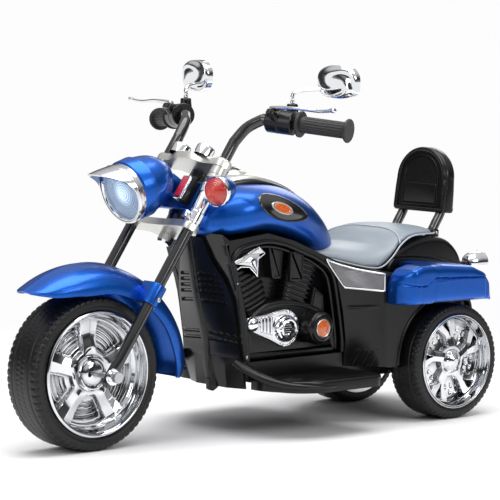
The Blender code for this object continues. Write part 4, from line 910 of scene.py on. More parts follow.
half = FORK_HALF - TUBE_R - 0.0062
panel = plate("fork_panel", rounded([(0.316, -half), (0.316, half), (0.369, half), (0.369, -half)],
                                    0.006),
              lambda s, y, n: on_fork(s, n, y), -0.003, 0.003, blue, edge=0.0012, groove=0.0006)
belong(panel, "steering", "blue_paint", "steering_cover")
stalk = plate("headlight_stalk", rounded([(0.336, -0.013), (0.336, 0.013), (0.365, 0.013),
                                          (0.365, -0.013)], 0.004),
              lambda s, y, n: on_fork(s, n, y * (1 - 8 * n)), 0.0025, 0.0335, blue, edge=0.002)
belong(stalk, "steering", "blue_paint")
# The reflector has no lamp: its red glow, brightest in the middle and in rings, is a painted glint.
reflector_painted_glow = lens_material("reflector_red_painted_glow", (0.50, 0.008, 0.006), on_fork(0.344, 0.03, 0.0), 0.08,
                       (1.0, 0.08, 0.02), 0.10, 2600.0)
for side, word in SIDES:
    face = rounded([(0.3225, -0.0100), (0.3225, 0.0100), (0.3655, 0.0100), (0.3655, -0.0100)],
                   0.0025)
    where = (lambda s, y, n, o=side: on_fork(s, n, y + o * 0.040))
    box = plate("reflector_box_" + word, face, where, 0.0034, 0.0245, satin_black, edge=0.001)
    belong(box, "steering", "black_plastic", "reflector_" + word)
    frame_edge = plate("reflector_frame_" + word, face, where, 0.0246, 0.0286, chrome, edge=0.0012,
                       groove=0.0016, groove_at=0.0016)
    belong(frame_edge, "steering", "chrome")
    u, v = np.meshgrid(np.linspace(0.3256, 0.3624, 75), np.linspace(-0.0074, 0.0074, 31))
    cubes = 0.00035 * (np.abs((u * 520) % 2 - 1) + np.abs((v * 520) % 2 - 1))
    edge_fall = smooth_step(np.minimum(np.minimum(u - 0.3256, 0.3624 - u),
                                       np.minimum(v + 0.0074, 0.0074 - v)), 0, 0.0006)
    points = where(u, v, 0.0262 + (0.0024 + cubes) * edge_fall)
    belong(skin("reflector_face_" + word, points, reflector_painted_glow, crease=25, outward=False), "steering",
           "red_lens")

    centre = at(-0.185, side * 0.115, 0.421)
    aim = np.array([math.cos(math.radians(10)), side * math.sin(math.radians(10)), -0.12])
    aim /= np.linalg.norm(aim)
    bell = curve([(-0.042, 0.0001), (-0.0405, 0.0080), (-0.032, 0.0165), (-0.019, 0.0218),
                  (-0.0075, 0.0238)], 8)
    bell = np.vstack([[(-0.042, 0.0)], bell[1:], [(-0.0060, 0.0239), (-0.0060, 0.0)]])
    belong(turned("signal_bell_" + word, bell, centre, aim, blue, 64), "steering", "blue_paint",
           "signal_lamp_" + word)
    bezel = [(-0.0075, 0.0236), (-0.0072, 0.0254), (-0.0055, 0.0263), (-0.0015, 0.0265),
             (0.0008, 0.0259), (0.0018, 0.0247), (0.0014, 0.0233), (-0.001, 0.0226)]
    belong(turned("signal_bezel_" + word, bezel, centre, aim, chrome, 64, closed=True),
           "steering", "chrome")
    red = lens_material("signal_red_" + word, (0.36, 0.004, 0.003), centre + 0.006 * aim, 0.018,
                        (1.0, 0.10, 0.02), 0.55, 2300.0)
    r, a = np.meshgrid(np.linspace(0.0232, 0.0, 56), np.linspace(0, 2 * np.pi, 96, endpoint=False))
    facet = 0.00035 * np.abs(((a * 24 / np.pi) + r * 900) % 2 - 1) * (r > 0.0055)
    height = 0.0132 * (1 - (r / 0.0236) ** 2.4) + 0.00035 * np.cos(r * 2300) * (r > 0.004) + facet
    first = np.cross(aim, (0, 0, 1.0))
    first /= np.linalg.norm(first)
    points = centre + aim * height[..., None] + r[..., None] * (
        first * np.cos(a)[..., None] + np.cross(aim, first) * np.sin(a)[..., None])
    points = np.concatenate([points[:, :1] - aim * 0.004, points], 1)
    belong(skin("signal_lens_" + word, points, red, close_rows=True, crease=28), "steering",
           "red_lens")
    arm = tube("signal_arm_" + word,
               curve([on_fork(0.3560, 0.002, side * (FORK_HALF + 0.0118)),
                      (on_fork(0.3560, 0.002, side * (FORK_HALF + 0.0118))
                       + centre - aim * 0.018) / 2 + (0, 0, 0.002), centre - aim * 0.018], 5),
               0.0055, chrome, edge=0.001)
    belong(arm, "steering", "chrome")
    clamp = [(0.3475, 0.0125), (0.3475, 0.0138), (0.3482, 0.0144), (0.3650, 0.0144),
             (0.3657, 0.0138), (0.3657, 0.0125)]
    belong(turned("signal_clamp_" + word, clamp, on_fork(0, 0, side * FORK_HALF), UP, chrome,
                  closed=True), "steering", "chrome")

# ---- front fender ----------------------------------------------------------------------------
# One painted plastic shell over the wheel, with a low crown ridge, a drawn-out front lip and
# a kicked tail. Moulded blocks clamp it to the legs.

STATIONS = np.array([  # degrees from straight ahead, crown radius, side radius, half width
    (49.0, 0.1845, 0.1800, 0.018), (52, 0.1822, 0.1690, 0.036), (57, 0.1800, 0.1560, 0.047),
    (66, 0.1790, 0.1440, 0.054), (80, 0.1785, 0.1330, 0.057), (100, 0.1785, 0.1325, 0.058),
    (118, 0.1800, 0.1340, 0.058), (134, 0.1830, 0.1390, 0.057), (150, 0.1870, 0.1450, 0.056),
    (166, 0.1915, 0.1500, 0.054), (178, 0.1930, 0.1570, 0.050), (185, 0.1885, 0.1640, 0.044),
    (187, 0.1850, 0.1660, 0.040)])
rows = curve(STATIONS, 9)
lean = np.radians(90) * np.linspace(-1, 1, 65)


def arch(rows, sink):
    """Ribs of the shell: y = half width * sin(lean), radius from side to crown by cos(lean)."""
    angle, crown, low, half = (rows[:, k, None] for k in range(4))
    angle = np.radians(angle)
    c = np.cos(lean)[None, :]
    y = (half - sink) * np.sin(lean)[None, :]
    rise = low + (crown - low) * np.clip(c, 0, 1) ** 0.75 - sink * (0.25 + 0.75 * c)
    if sink == 0:
        rise = rise + 0.0012 * np.exp(-(y / 0.004) ** 2)            # crown ridge
        rise = rise - 0.0007 * np.exp(-((np.abs(np.sin(lean)) - 0.955) / 0.012) ** 2)
    return np.stack([FRONT[0] + rise * np.cos(angle), y + 0 * angle,
                     FRONT[2] + rise * np.sin(angle)], -1)


points = np.concatenate([arch(rows, 0), arch(rows, 0.0028)[:, ::-1]], 1)
shell = skin("fender_shell", points, blue, close_columns=True, cap=True, crease=42)
belong(shell, "steering", "blue_paint", "front_fender")
for side, word in SIDES:
    block = rounded([(-0.0145, 0.0500), (0.0145, 0.0500), (0.0145, 0.0780), (0.0075, 0.0880),
                     (-0.0075, 0.0880), (-0.0145, 0.0780)], [0.001, 0.001, 0.006, 0.006, 0.006,
                                                              0.006])
    clamp = plate("fender_clamp_" + word, block, lambda n, y, s, o=side: on_fork(s, n, o * y),
                  0.1350, 0.1720, blue, edge=0.0016, both=True)
    belong(clamp, "steering", "blue_paint")
    slit = plate("clamp_slit_" + word, rounded([(0.1360, -0.0009), (0.1360, 0.0009),
                                                (0.1710, 0.0009), (0.1710, -0.0009)], 0.0006),
                 lambda s, n, w, o=side: on_fork(s, n + 0.0030, o * (0.0868 + w)), 0.0, 0.0014,
                 satin_black, edge=0.0002)
    belong(slit, "steering", "black_plastic")
    screw("clamp_bolt_" + word, on_fork(0.1480, -0.0040, side * 0.0878), (0, side, 0), 0.0038,
          "steering", "zinc_steel", zinc, 0.0018)

# ---- body shells -----------------------------------------------------------------------------
# Two half shells moulded in satin black plastic, screwed together down the middle. A rolled
# rail edges the engine bay, and a swept panel stands out in front of each rear wheel.

coat(("body_left", "body_right"), satin_black)
BODY_HALF = 0.080
BAY = np.array([(-0.2860, 0.127), (-0.2835, 0.160), (-0.2700, 0.235), (-0.2560, 0.285),
                (-0.2510, 0.300), (-0.2585, 0.313), (-0.2800, 0.3225), (-0.3250, 0.3280),
                (-0.3650, 0.3215), (-0.4050, 0.3070), (-0.4450, 0.290), (-0.478, 0.262),
                (-0.492, 0.200), (-0.500, 0.150), (-0.500, 0.127)])
REAR_ARCH_R = 0.1162
switch_low, switch_high = (np.array(v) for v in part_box("power_switch"))
SWITCH_B = (switch_low[0] + switch_high[0]) / 2 - FRONT[0]
SWITCH_Z = (switch_low[2] + switch_high[2]) / 2
WELL_FLOOR = 0.1268


def sweep_y(b, z):
    """Half width of the flank: it swings out from the engine to the wheel, sooner high up."""
    start = np.interp(z, [0.10, 0.27], [0.500, 0.458])
    return 0.0810 + 0.0520 * smooth_step(-b, start, 0.556)


def side_plan(side):
    """Outlines are drawn in (behind, height) and stand out from the middle plane."""
    return lambda b, z, y: at(b, side * y, z)


for side, word in SIDES:
    path = curve(BAY, 8)
    for name, grow, y, thick in (("bay_rail_", 0.0, BODY_HALF + 0.0004, 0.0042),
                                 ("bay_step_", -0.0075, BODY_HALF - 0.0085, 0.0034)):
        middle = np.array([-0.385, 0.205])
        rail = middle + (path - middle) * (1 + grow / 0.11)
        made = tube(name + word, at(rail[:, 0], side * y, rail[:, 1]), thick, satin_black,
                    sides=14, flat=0.8, upright=(0, 1, 0))
        belong(made, "chassis", "black_plastic")
    u, v = np.meshgrid(np.linspace(0, 1, 100), np.linspace(0, 1, 100))
    top = np.interp(0.46 + 0.185 * u, [0.450, 0.489, 0.552, 0.600, 0.645],
                    [0.2955, 0.2800, 0.2640, 0.2600, 0.2560])
    z = 0.1020 + v * (top - 0.1020)
    first = -np.interp(z, [0.104, 0.15, 0.2, 0.262, 0.30], [0.5030, 0.5025, 0.4945, 0.4805, 0.450])
    last = -WHEELBASE + np.sqrt(np.clip(REAR_ARCH_R ** 2 - (z - 0.1015) ** 2, 0.045 ** 2, 1))
    b = first + u * (last - first)
    y = sweep_y(b, z)
    y = y - 0.006 * smooth_step(u, 0.93, 1.0) ** 2 - 0.004 * smooth_step(v, 0.93, 1.0) ** 2
    y = y + 0.0016 * np.exp(-((z - 0.2050 + 0.05 * (b + 0.5)) / 0.0022) ** 2) * (
        smooth_step(-b, 0.497, 0.503) * smooth_step(b, -0.548, -0.520))
    if side < 0:                                        # a well lets the rocker switch move
        off_b, off_z = np.abs(b - SWITCH_B), np.abs(z - SWITCH_Z)
        well = smooth_step(-off_b, -0.0140, -0.0115) * smooth_step(-off_z, -0.0120, -0.0095)
        y = y + (WELL_FLOOR - y) * well
    outer = at(b, side * y, z)
    inner = at(b - 0.001, side * (y - 0.0035), np.minimum(z, 0.30))
    flank = skin("flank_sweep_" + word, np.concatenate([outer, inner[:, ::-1]], 1), satin_black,
                 close_columns=True, cap=True, crease=45)
    belong(flank, "chassis", "black_plastic")
    lip = np.stack([last[:, -1] - 0.0005, z[:, -1]], -1)
    edge_y = sweep_y(lip[:, 0], lip[:, 1]) - 0.004
    belong(tube("arch_lip_" + word, at(lip[:, 0], side * edge_y, lip[:, 1])[::3], 0.0042,
                satin_black, sides=14, upright=(0, 1, 0)), "chassis", "black_plastic")
    if side < 0:
        b0, z0 = SWITCH_B, SWITCH_Z
        frame_line = rounded([(b0 - 0.0140, z0 - 0.0120), (b0 + 0.0140, z0 - 0.0120),
                              (b0 + 0.0140, z0 + 0.0120), (b0 - 0.0140, z0 + 0.0120)], 0.003)
        frame_line = np.vstack([frame_line, frame_line[:2]])
        belong(tube("switch_frame", at(frame_line[:, 0], side * 0.1332, frame_line[:, 1]),
                    0.0011, satin_black, sides=10, upright=(0, 1, 0)), "chassis",
               "black_plastic")
    for k in range(3):
        b0 = -0.5080 - 0.0100 * k
        u2, v2 = np.meshgrid(np.linspace(b0, b0 - 0.0075, 10), np.linspace(0.1030, 0.1330, 24))
        rise = 0.0030 * smooth_step(np.minimum(np.minimum(b0 - u2, u2 - b0 + 0.0075),
                                               np.minimum(v2 - 0.103, 0.133 - v2)), 0, 0.0012)
        face = at(u2 - 0.25 * (v2 - 0.103), side * (sweep_y(u2 - 0.25 * (v2 - 0.103), v2) - 0.0005
                                                    + rise), v2)
        belong(skin("flank_step_%s_%d" % (word, k), face, satin_black, crease=30, outward=False),
               "chassis", "black_plastic")
    pillar = rounded([(-0.2868, 0.106), (-0.2800, 0.122), (-0.2763, 0.160), (-0.2650, 0.233),
                      (-0.2555, 0.262), (-0.2435, 0.297), (-0.2335, 0.3275), (-0.2440, 0.3320),
                      (-0.2470, 0.3050), (-0.2540, 0.2850), (-0.2680, 0.235), (-0.2815, 0.160),
                      (-0.2845, 0.106)], 0.003)
    belong(plate("pillar_skin_" + word, pillar, side_plan(side), 0.070, 0.0822, satin_black,
                 edge=0.0030), "chassis", "black_plastic")
    for k, (b, z) in enumerate(((-0.2835, 0.135), (-0.2630, 0.262))):
        screw("body_screw_%s_%d" % (word, k), at(b, side * 0.0818, z), (0, side, 0), 0.0034,
              "chassis", "zinc_steel", zinc, 0.0016)

# ---- nose ------------------------------------------------------------------------------------
# A separate moulding closes the front: a flat rib down its middle, cooling louvres on both
# sides of it, two steps, and a folded skirt with a small foot at the bottom.

NOSE = np.array([(0.337, -0.2190, -0.2262, 0.029), (0.298, -0.2262, -0.2370, 0.041),
                 (0.267, -0.2320, -0.2490, 0.058), (0.233, -0.2390, -0.2580, 0.068),
                 (0.197, -0.2490, -0.2640, 0.070), (0.160, -0.2590, -0.2700, 0.071),
                 (0.136, -0.2620, -0.2725, 0.073), (0.112, -0.2650, -0.2770, 0.075),
                 (0.080, -0.2720, -0.2850, 0.071)])
rows = curve(NOSE, 34)
z, rib_x, edge_x, wide = (rows[:, k, None] for k in range(4))
t = np.linspace(-1, 1, 141)[None, :]
bend = np.abs(t)
x = rib_x + (edge_x - rib_x) * bend ** 1.25
y = wide * t
strip = smooth_step(-np.abs(y), -0.0085, -0.0072)
x = x + 0.0030 * strip
field = smooth_step(np.abs(y), 0.0100, 0.0115)
louvres = np.zeros_like(x)
for level in (0.2755, 0.2655, 0.2555, 0.2455, 0.2300):
    slot = z + 0.10 * np.abs(y) - level
    louvres = louvres + np.exp(-(slot / 0.0026) ** 4) * smooth_step(-bend, -0.88, -0.82)
for level in (0.1750, 0.1640):
    slot = z + 0.08 * np.abs(y) - level
    louvres = louvres + 0.7 * np.exp(-(slot / 0.0022) ** 4)
x = x - 0.0034 * louvres * field
corner = np.array([0.0, 0.048])
fold = np.clip((0.1330 - z) / 0.05, 0, 1)
gable = np.clip(1 - np.abs(np.abs(y) - 0.040) / 0.030, 0, 1)
x = x + 0.0060 * fold * gable * field - 0.0018 * smooth_step(-z, -0.1345, -0.1330) * field
outer = np.stack([FRONT[0] + x, y + 0 * x, z + 0 * x], -1)
NOSE_WALL = 0.0045
inner = outer - np.array([NOSE_WALL, 0, 0])
back_limit = FRONT[0] + rib_x + (edge_x - rib_x) * bend ** 1.25 - NOSE_WALL
inner[..., 0] = np.minimum(inner[..., 0], back_limit)
nose = skin("nose_moulding", np.concatenate([outer, inner[:, ::-1]], 1), satin_black,
            close_columns=True, cap=True, crease=30)
belong(nose, "chassis", "black_plastic", "nose_cover")
foot = plate("nose_foot", rounded([(-0.2655, 0.0955), (-0.2655, 0.0745), (-0.2730, 0.0700),
                                   (-0.2850, 0.0760), (-0.2850, 0.0955)], 0.003),
             lambda b, z, y: at(b, y, z), -0.0065, 0.0065, satin_black, edge=0.0025, both=True)
belong(foot, "chassis", "black_plastic")

# ---- footboards ------------------------------------------------------------------------------
# Flat moulded boards with a rolled front edge and a rim; the right one carries the pedal.

ARC = np.radians(np.linspace(15, 90, 14))
BOARD = np.vstack([[(-0.2925, 0.0806), (-0.2920, 0.100), (-0.2990, 0.122)],
                   np.stack([-0.372 + 0.066 * np.cos(ARC), 0.120 + 0.066 * np.sin(ARC)], -1),
                   [(-0.490, 0.186), (-0.503, 0.178), (-0.508, 0.165), (-0.504, 0.134),
                    (-0.504, 0.0806)]])
for side, word in SIDES:
    plan = (lambda b, y, z, o=side: at(b, o * y, z))
    outline = rounded(BOARD, np.r_[0.001, 0.010, 0.012, np.full(14, 0.002), 0.008, 0.006, 0.006,
                                   0.010, 0.001])
    board = plate("footboard_top_" + word, outline, plan, 0.0800, 0.1000, satin_black,
                  edge=0.0048, groove=0.0014, groove_at=0.0055)
    belong(board, "chassis", "black_plastic", "footboard_" + word)
    sweep = curve([at(-0.2700, side * 0.070, 0.1280), at(-0.2770, side * 0.095, 0.1150),
                   at(-0.2920, side * 0.126, 0.1010), at(-0.3170, side * 0.152, 0.0925),
                   at(-0.3500, side * 0.1730, 0.0900), at(-0.3900, side * 0.1795, 0.0900)], 8)
    belong(tube("board_sweep_" + word, sweep, np.linspace(0.0130, 0.0092, len(sweep)),
                satin_black, flat=0.62, upright=(0, 0, 1)), "chassis", "black_plastic")
    for k in range(6):
        b = -0.425 - 0.010 * k
        if side < 0:
            b -= 0.008
        bar = rounded([(b, 0.100), (b - 0.0032, 0.100), (b - 0.0032, 0.165), (b, 0.165)], 0.0012)
        belong(plate("board_rib_%s_%d" % (word, k), bar, plan, 0.0984, 0.1000, satin_black,
                     edge=0.0006), "chassis", "black_plastic")
pedal_outline = rounded([(-0.352, -0.112), (-0.412, -0.112), (-0.412, -0.148), (-0.352, -0.148)],
                        0.004)
pedal = plate("pedal_pad", pedal_outline,
              lambda b, y, w: at(b, y, 0.1010 + w * 1.0 + (b + 0.412) * 0.15), 0.0, 0.0070, rubber,
              edge=0.0015)
belong(pedal, "foot_pedal", "rubber", "foot_pedal")
for k in range(5):
    b = -0.361 - 0.0098 * k
    bar = rounded([(b, -0.116), (b - 0.004, -0.116), (b - 0.004, -0.144), (b, -0.144)], 0.001)
    belong(plate("pedal_rib_%d" % k, bar,
                 lambda b, y, w: at(b, y, 0.1080 + w + (b + 0.412) * 0.15), -0.001, 0.0016, rubber,
                 edge=0.0006), "foot_pedal", "rubber")
coat(("power_switch",), finish("switch_cap", (0.30, 0.012, 0.010), 0.25, cloud=(80.0, 0.1)))

# ---- engine dress ----------------------------------------------------------------------------
# One black moulding each side looks like a vee twin: two finned cylinders over a crankcase.
# A plated rocker cover, gear cover and a round black clutch cover are screwed to it.

engine_black = finish("engine_black", (0.0072, 0.0072, 0.0076), 0.28, grain=(800.0, 0.00006),
                      cloud=(16.0, 0.3), rough_cloud=0.07, specular=0.38)


def cylinder(name, foot, lean, length, width, fins, side, y_face):
    """A finned barrel: a flat-faced half round carried up a leaning axis.

    The half width grows up the axis, and each fin is a tooth in width and depth.
    """
    t = np.linspace(0, 1, fins * 8 + 1)
    tooth = smooth_step(np.cos(2 * np.pi * (t * fins + 0.1)), -0.25, 0.25)
    half = width / 2 * (0.70 + 0.30 * t) * (1 - 0.085 * tooth)
    deep = (y_face - 0.046) * (1 - 0.16 * tooth) * (0.80 + 0.20 * smooth_step(t, 0, 0.2))
    a = np.linspace(0, np.pi, 33)
    u = np.sign(np.cos(a)) * np.abs(np.cos(a)) ** 0.45 * half[:, None]
    w = 0.0455 + np.abs(np.sin(a)) ** 0.38 * deep[:, None]
    up = (t * length)[:, None]
    c, s = math.cos(lean), math.sin(lean)
    points = at(foot[0] + u * c + up * s, side * w, foot[1] - u * s + up * c)
    return skin(name, points, engine_black, close_columns=True, cap=True, crease=28)


for side, word in SIDES:
    place = side_plan(side)
    case = rounded([(-0.2878, 0.1275), (-0.2838, 0.176), (-0.300, 0.205), (-0.330, 0.222),
                    (-0.3675, 0.226), (-0.405, 0.222), (-0.440, 0.213), (-0.484, 0.192),
                    (-0.4960, 0.1275)], 0.012)
    belong(plate("crankcase_" + word, case, place, 0.0455, 0.0735, engine_black, edge=0.006,
                 groove=0.0012, groove_at=0.006), "chassis", "black_plastic", "engine_" + word)
    front = cylinder("front_cylinder_" + word, (-0.3195, 0.208), math.radians(22.5), 0.108, 0.074,
                     11, side, 0.0738)
    rear = cylinder("rear_cylinder_" + word, (-0.3960, 0.206), math.radians(-19), 0.090, 0.074, 11,
                    side, 0.0728)
    belong(front, "chassis", "black_plastic")
    belong(rear, "chassis", "black_plastic")
    wedge = rounded([(-0.3446, 0.3235), (-0.3807, 0.3215), (-0.3746, 0.2604), (-0.3542, 0.2617)],
                    0.005)
    belong(plate("valley_cover_" + word, wedge, place, 0.0455, 0.0640, engine_black, edge=0.002,
                 groove=0.0012), "chassis", "black_plastic")
    block = rounded([(-0.3838, 0.3080), (-0.4140, 0.3060), (-0.4130, 0.2554), (-0.3828, 0.2575)],
                    0.002)
    belong(plate("rear_rocker_" + word, block, place, 0.070, 0.0768, engine_black, edge=0.0014,
                 groove=0.0010, groove_at=0.003), "chassis", "black_plastic")
    brace = rounded([(-0.4441, 0.2431), (-0.4652, 0.2279), (-0.4680, 0.1900), (-0.4308, 0.1900)],
                    0.003)
    belong(plate("brace_panel_" + word, brace, place, 0.0455, 0.0700, engine_black, edge=0.0015,
                 groove=0.0015, groove_at=0.0035), "chassis", "black_plastic")

    rocker = rounded([(-0.2475, 0.2945), (-0.2560, 0.2795), (-0.2705, 0.2870), (-0.2890, 0.2855),
                      (-0.3078, 0.2680), (-0.3095, 0.2990), (-0.3255, 0.3080), (-0.3105, 0.3215)],
                     0.0016)
    belong(plate("rocker_plate_" + word, rocker, place, 0.0700, 0.0800, chrome, edge=0.0014,
                 groove=0.0010, groove_at=0.0022), "chassis", "chrome", "rocker_cover_" + word)
    ridge = rounded([(-0.2665, 0.2975), (-0.2900, 0.2940), (-0.3060, 0.2740), (-0.3050, 0.2985),
                     (-0.3120, 0.3090), (-0.2850, 0.3095)], 0.0012)
    belong(plate("rocker_peak_" + word, ridge, place, 0.0790, 0.0805, chrome, edge=0.0008,
                 crown=0.0055, crease=18), "chassis", "chrome")

    lobe = np.radians(np.linspace(-80, -270, 16))
    knob = np.radians(np.linspace(90, -90, 12))
    gear = np.vstack([np.stack([-0.3675 + 0.0325 * np.cos(lobe), 0.1784 + 0.0325 * np.sin(lobe)],
                               -1),
                      [(-0.3500, 0.2090), (-0.3300, 0.2050), (-0.3020, 0.2025)],
                      np.stack([-0.2930 + 0.0125 * np.cos(knob), 0.1905 + 0.0125 * np.sin(knob)],
                               -1),
                      [(-0.3050, 0.1725), (-0.3350, 0.1600)]])
    belong(plate("gear_plate_" + word, rounded(gear, 0.002, 3), place, 0.0744, 0.0815, chrome,
                 edge=0.0018, groove=0.0010, groove_at=0.0025), "chassis", "chrome",
           "gear_cover_" + word)
    hub = at(-0.3675, side * 0.0805, 0.1784)
    ring = [(0.0, 0.0240), (0.0055, 0.0232), (0.0085, 0.0212), (0.0095, 0.0185), (0.0130, 0.0170),
            (0.0138, 0.0155), (0.0134, 0.0135), (0.0105, 0.0122), (0.0060, 0.0120), (0.0060, 0.0)]
    belong(turned("gear_ring_" + word, ring, hub, (0, side, 0), chrome), "chassis", "chrome")
    for k in range(5):
        z = 0.1709 + 0.00375 * k
        reach = math.sqrt(max(0.0118 ** 2 - (z - 0.1784) ** 2, 0))
        slat = rounded([(-0.3675 - reach, z - 0.0011), (-0.3675 + reach, z - 0.0011),
                        (-0.3675 + reach, z + 0.0011), (-0.3675 - reach, z + 0.0011)], 0.0006)
        belong(plate("grille_slat_%s_%d" % (word, k), slat, place, 0.0858, 0.0905, satin_black,
                     edge=0.0006), "chassis", "black_plastic")
    button = [(0.0, 0.0118), (0.004, 0.0122), (0.0075, 0.0112), (0.0105, 0.0085), (0.0122, 0.0045),
              (0.0126, 0.0)]
    belong(turned("gear_knob_" + word, button, at(-0.2930, side * 0.0805, 0.1905), (0, side, 0),
                  chrome), "chassis", "chrome")
    for k in range(4):
        b = -0.3090 - 0.0075 * k
        bar = rounded([(b, 0.1760 - 0.002 * k), (b - 0.0045, 0.1750 - 0.002 * k),
                       (b - 0.0045, 0.1985 + 0.0008 * k), (b, 0.1980 + 0.0008 * k)], 0.0015)
        belong(plate("gear_rib_%s_%d" % (word, k), bar, place, 0.0800, 0.0868, chrome,
                     edge=0.0014), "chassis", "chrome")
    for k, turn_deg in enumerate((-120, -165, 150, 105, -75)):
        a = math.radians(turn_deg)
        screw("gear_screw_%s_%d" % (word, k),
              at(-0.3675 + 0.0280 * math.cos(a), side * 0.0808, 0.1784 + 0.0280 * math.sin(a)),
              (0, side, 0), 0.0032, "chassis", "chrome", chrome, 0.0030)
    drum = [(0.0, 0.0285), (0.0250, 0.0285), (0.0290, 0.0280), (0.0310, 0.0268), (0.0318, 0.0250),
            (0.0330, 0.0240), (0.0352, 0.0225), (0.0358, 0.0200), (0.0340, 0.0185),
            (0.0340, 0.0160), (0.0340, 0.0)]
    belong(turned("clutch_drum_" + word, drum, at(-0.430, side * 0.0744, 0.176), (0, side, 0),
                  satin_black, 96, crease=28), "chassis", "black_plastic", "clutch_cover_" + word)
    belong(turned("clutch_badge_rim_" + word,
                  [(0.0338, 0.0158), (0.0356, 0.0156), (0.0362, 0.0146), (0.0352, 0.0138),
                   (0.0338, 0.0136)], at(-0.430, side * 0.0744, 0.176), (0, side, 0), silver,
                  closed=True), "chassis", "silver")
    orange = finish("badge_orange_" + word, (0.62, 0.115, 0.012), 0.24, grain=(300.0, 0.00001),
                    cloud=(120.0, 0.18), coat=1.0)
    belong(turned("clutch_badge_" + word,
                  [(0.0338, 0.0140), (0.0350, 0.0136), (0.0356, 0.0100), (0.0346, 0.0092),
                   (0.0358, 0.0060), (0.0362, 0.0)], at(-0.430, side * 0.0744, 0.176),
                  (0, side, 0), orange), "chassis", "silver")

# ---- fuel tank -------------------------------------------------------------------------------
# A hollow painted moulding over the steering head and the front of the seat. Black pads with
# a plain oval badge are pressed into its flanks, and a satin console with a cap lies on top.

TANK = curve([  # behind the axle, top, half width, bottom
    (-0.2100, 0.3690, 0.018, 0.3560), (-0.2112, 0.3760, 0.034, 0.3500),
    (-0.2180, 0.3900, 0.050, 0.3430), (-0.2280, 0.4010, 0.0610, 0.3385),
    (-0.2450, 0.4110, 0.0755, 0.3345), (-0.2800, 0.4225, 0.0925, 0.3375),
    (-0.3200, 0.4260, 0.0940, 0.3412), (-0.3650, 0.4230, 0.0900, 0.3335),
    (-0.4100, 0.4120, 0.0810, 0.3190), (-0.4500, 0.3940, 0.0680, 0.3015),
    (-0.4850, 0.3690, 0.0530, 0.2880), (-0.5120, 0.3450, 0.0360, 0.2830),
    (-0.5290, 0.3280, 0.0190, 0.2880), (-0.5335, 0.3180, 0.0070, 0.2950)], 9)


def tank_row(b):
    """Top, half width and bottom of the tank at a distance behind the axle."""
    return [np.interp(-np.asarray(b), -TANK[:, 0], TANK[:, k]) for k in (1, 2, 3)]


def tank_surface(b, turn, grow=0.0):
    """A cross-section: powers of cosine and sine, fuller below than above."""
    top, half, low = tank_row(b)
    middle = low + (top - low) * 0.42
    c, s = np.cos(turn), np.sin(turn)
    y = np.sign(c) * np.abs(c) ** 0.80 * (half + grow)
    z = middle + np.where(s > 0, (top + grow - middle) * np.abs(s) ** 0.82,
                          -(middle - low + grow) * np.abs(s) ** 0.62)
    return at(b, y, z)


def tank_flank(b, z):
    """Half width of the tank at a place and height: the cross-section solved for y."""
    top, half, low = tank_row(b)
    middle = low + (top - low) * 0.42
    s = np.where(z > middle, np.clip((z - middle) / (top - middle), 0, 1) ** (1 / 0.82),
                 np.clip((middle - z) / (middle - low), 0, 1) ** (1 / 0.62))
    return half * np.sqrt(np.clip(1 - s ** 2, 0, 1)) ** 0.80


turn = np.linspace(0, 2 * np.pi, 128, endpoint=False)
b, a = np.meshgrid(TANK[:, 0], turn, indexing="ij")
tank = skin("tank_shell", tank_surface(b, a), blue, close_columns=True, cap=True, crease=50)
belong(tank, "chassis", "blue_paint", "fuel_tank")

gloss_black = finish("gloss_black_inlay", (0.008, 0.008, 0.009), 0.10, grain=(200.0, 0.00001),
                     cloud=(9.0, 0.2), rough_cloud=0.04, coat=1.0)


def flank_patch(name, middle, reach, slope, taper, rings, side, material):
    """A pad on the tank's flank: ovals about a middle, each with its own lift off the surface.

    The oval's height shrinks towards the rear by the taper; its axis falls by the slope.
    """
    turn = np.linspace(0, 2 * np.pi, 96, endpoint=False)
    size, lift = (np.asarray(rings, float)[:, k, None] for k in (0, 1))
    u = reach[0] * size * np.cos(turn)
    v = reach[1] * size * np.sin(turn) * (1 + taper * np.cos(turn))
    b, z = middle[0] + u, middle[1] + v + slope * u
    points = at(b, side * (tank_flank(b, z) + lift), z)
    return skin(name, points, material, close_columns=True, cap=True, crease=40)


PAD = ((1.0, -0.004), (1.0, 0.0006), (0.985, 0.0018), (0.955, 0.0023), (0.925, 0.0017),
       (0.88, 0.0012), (0.7, 0.0014), (0.4, 0.0016), (0.05, 0.0017))
BADGE = ((1.0, 0.0004), (1.0, 0.0030), (0.96, 0.0040), (0.88, 0.0042), (0.82, 0.0036),
         (0.4, 0.0040), (0.05, 0.0041))
for side, word in SIDES:
    belong(flank_patch("tank_pad_" + word, (-0.361, 0.3810), (0.0610, 0.0205), 0.25, 0.30, PAD,
                       side, gloss_black), "chassis", "black_plastic")
    belong(flank_patch("tank_badge_rim_" + word, (-0.3500, 0.3838), (0.0255, 0.0098), 0.25, 0.0,
                       BADGE, side, silver), "chassis", "silver")
    enamel_orange = finish("tank_badge_orange_" + word, (0.62, 0.115, 0.012), 0.22,
                           grain=(300.0, 0.00001), cloud=(150.0, 0.2), coat=1.0)
    belong(flank_patch("tank_badge_" + word, (-0.3500, 0.3838), (0.0255, 0.0098), 0.25, 0.0,
                       ((0.78, 0.0030), (0.78, 0.0043), (0.74, 0.0049), (0.62, 0.0050),
                        (0.58, 0.0042), (0.30, 0.0042), (0.27, 0.0050), (0.04, 0.0052)),
                       side, enamel_orange), "chassis", "silver")

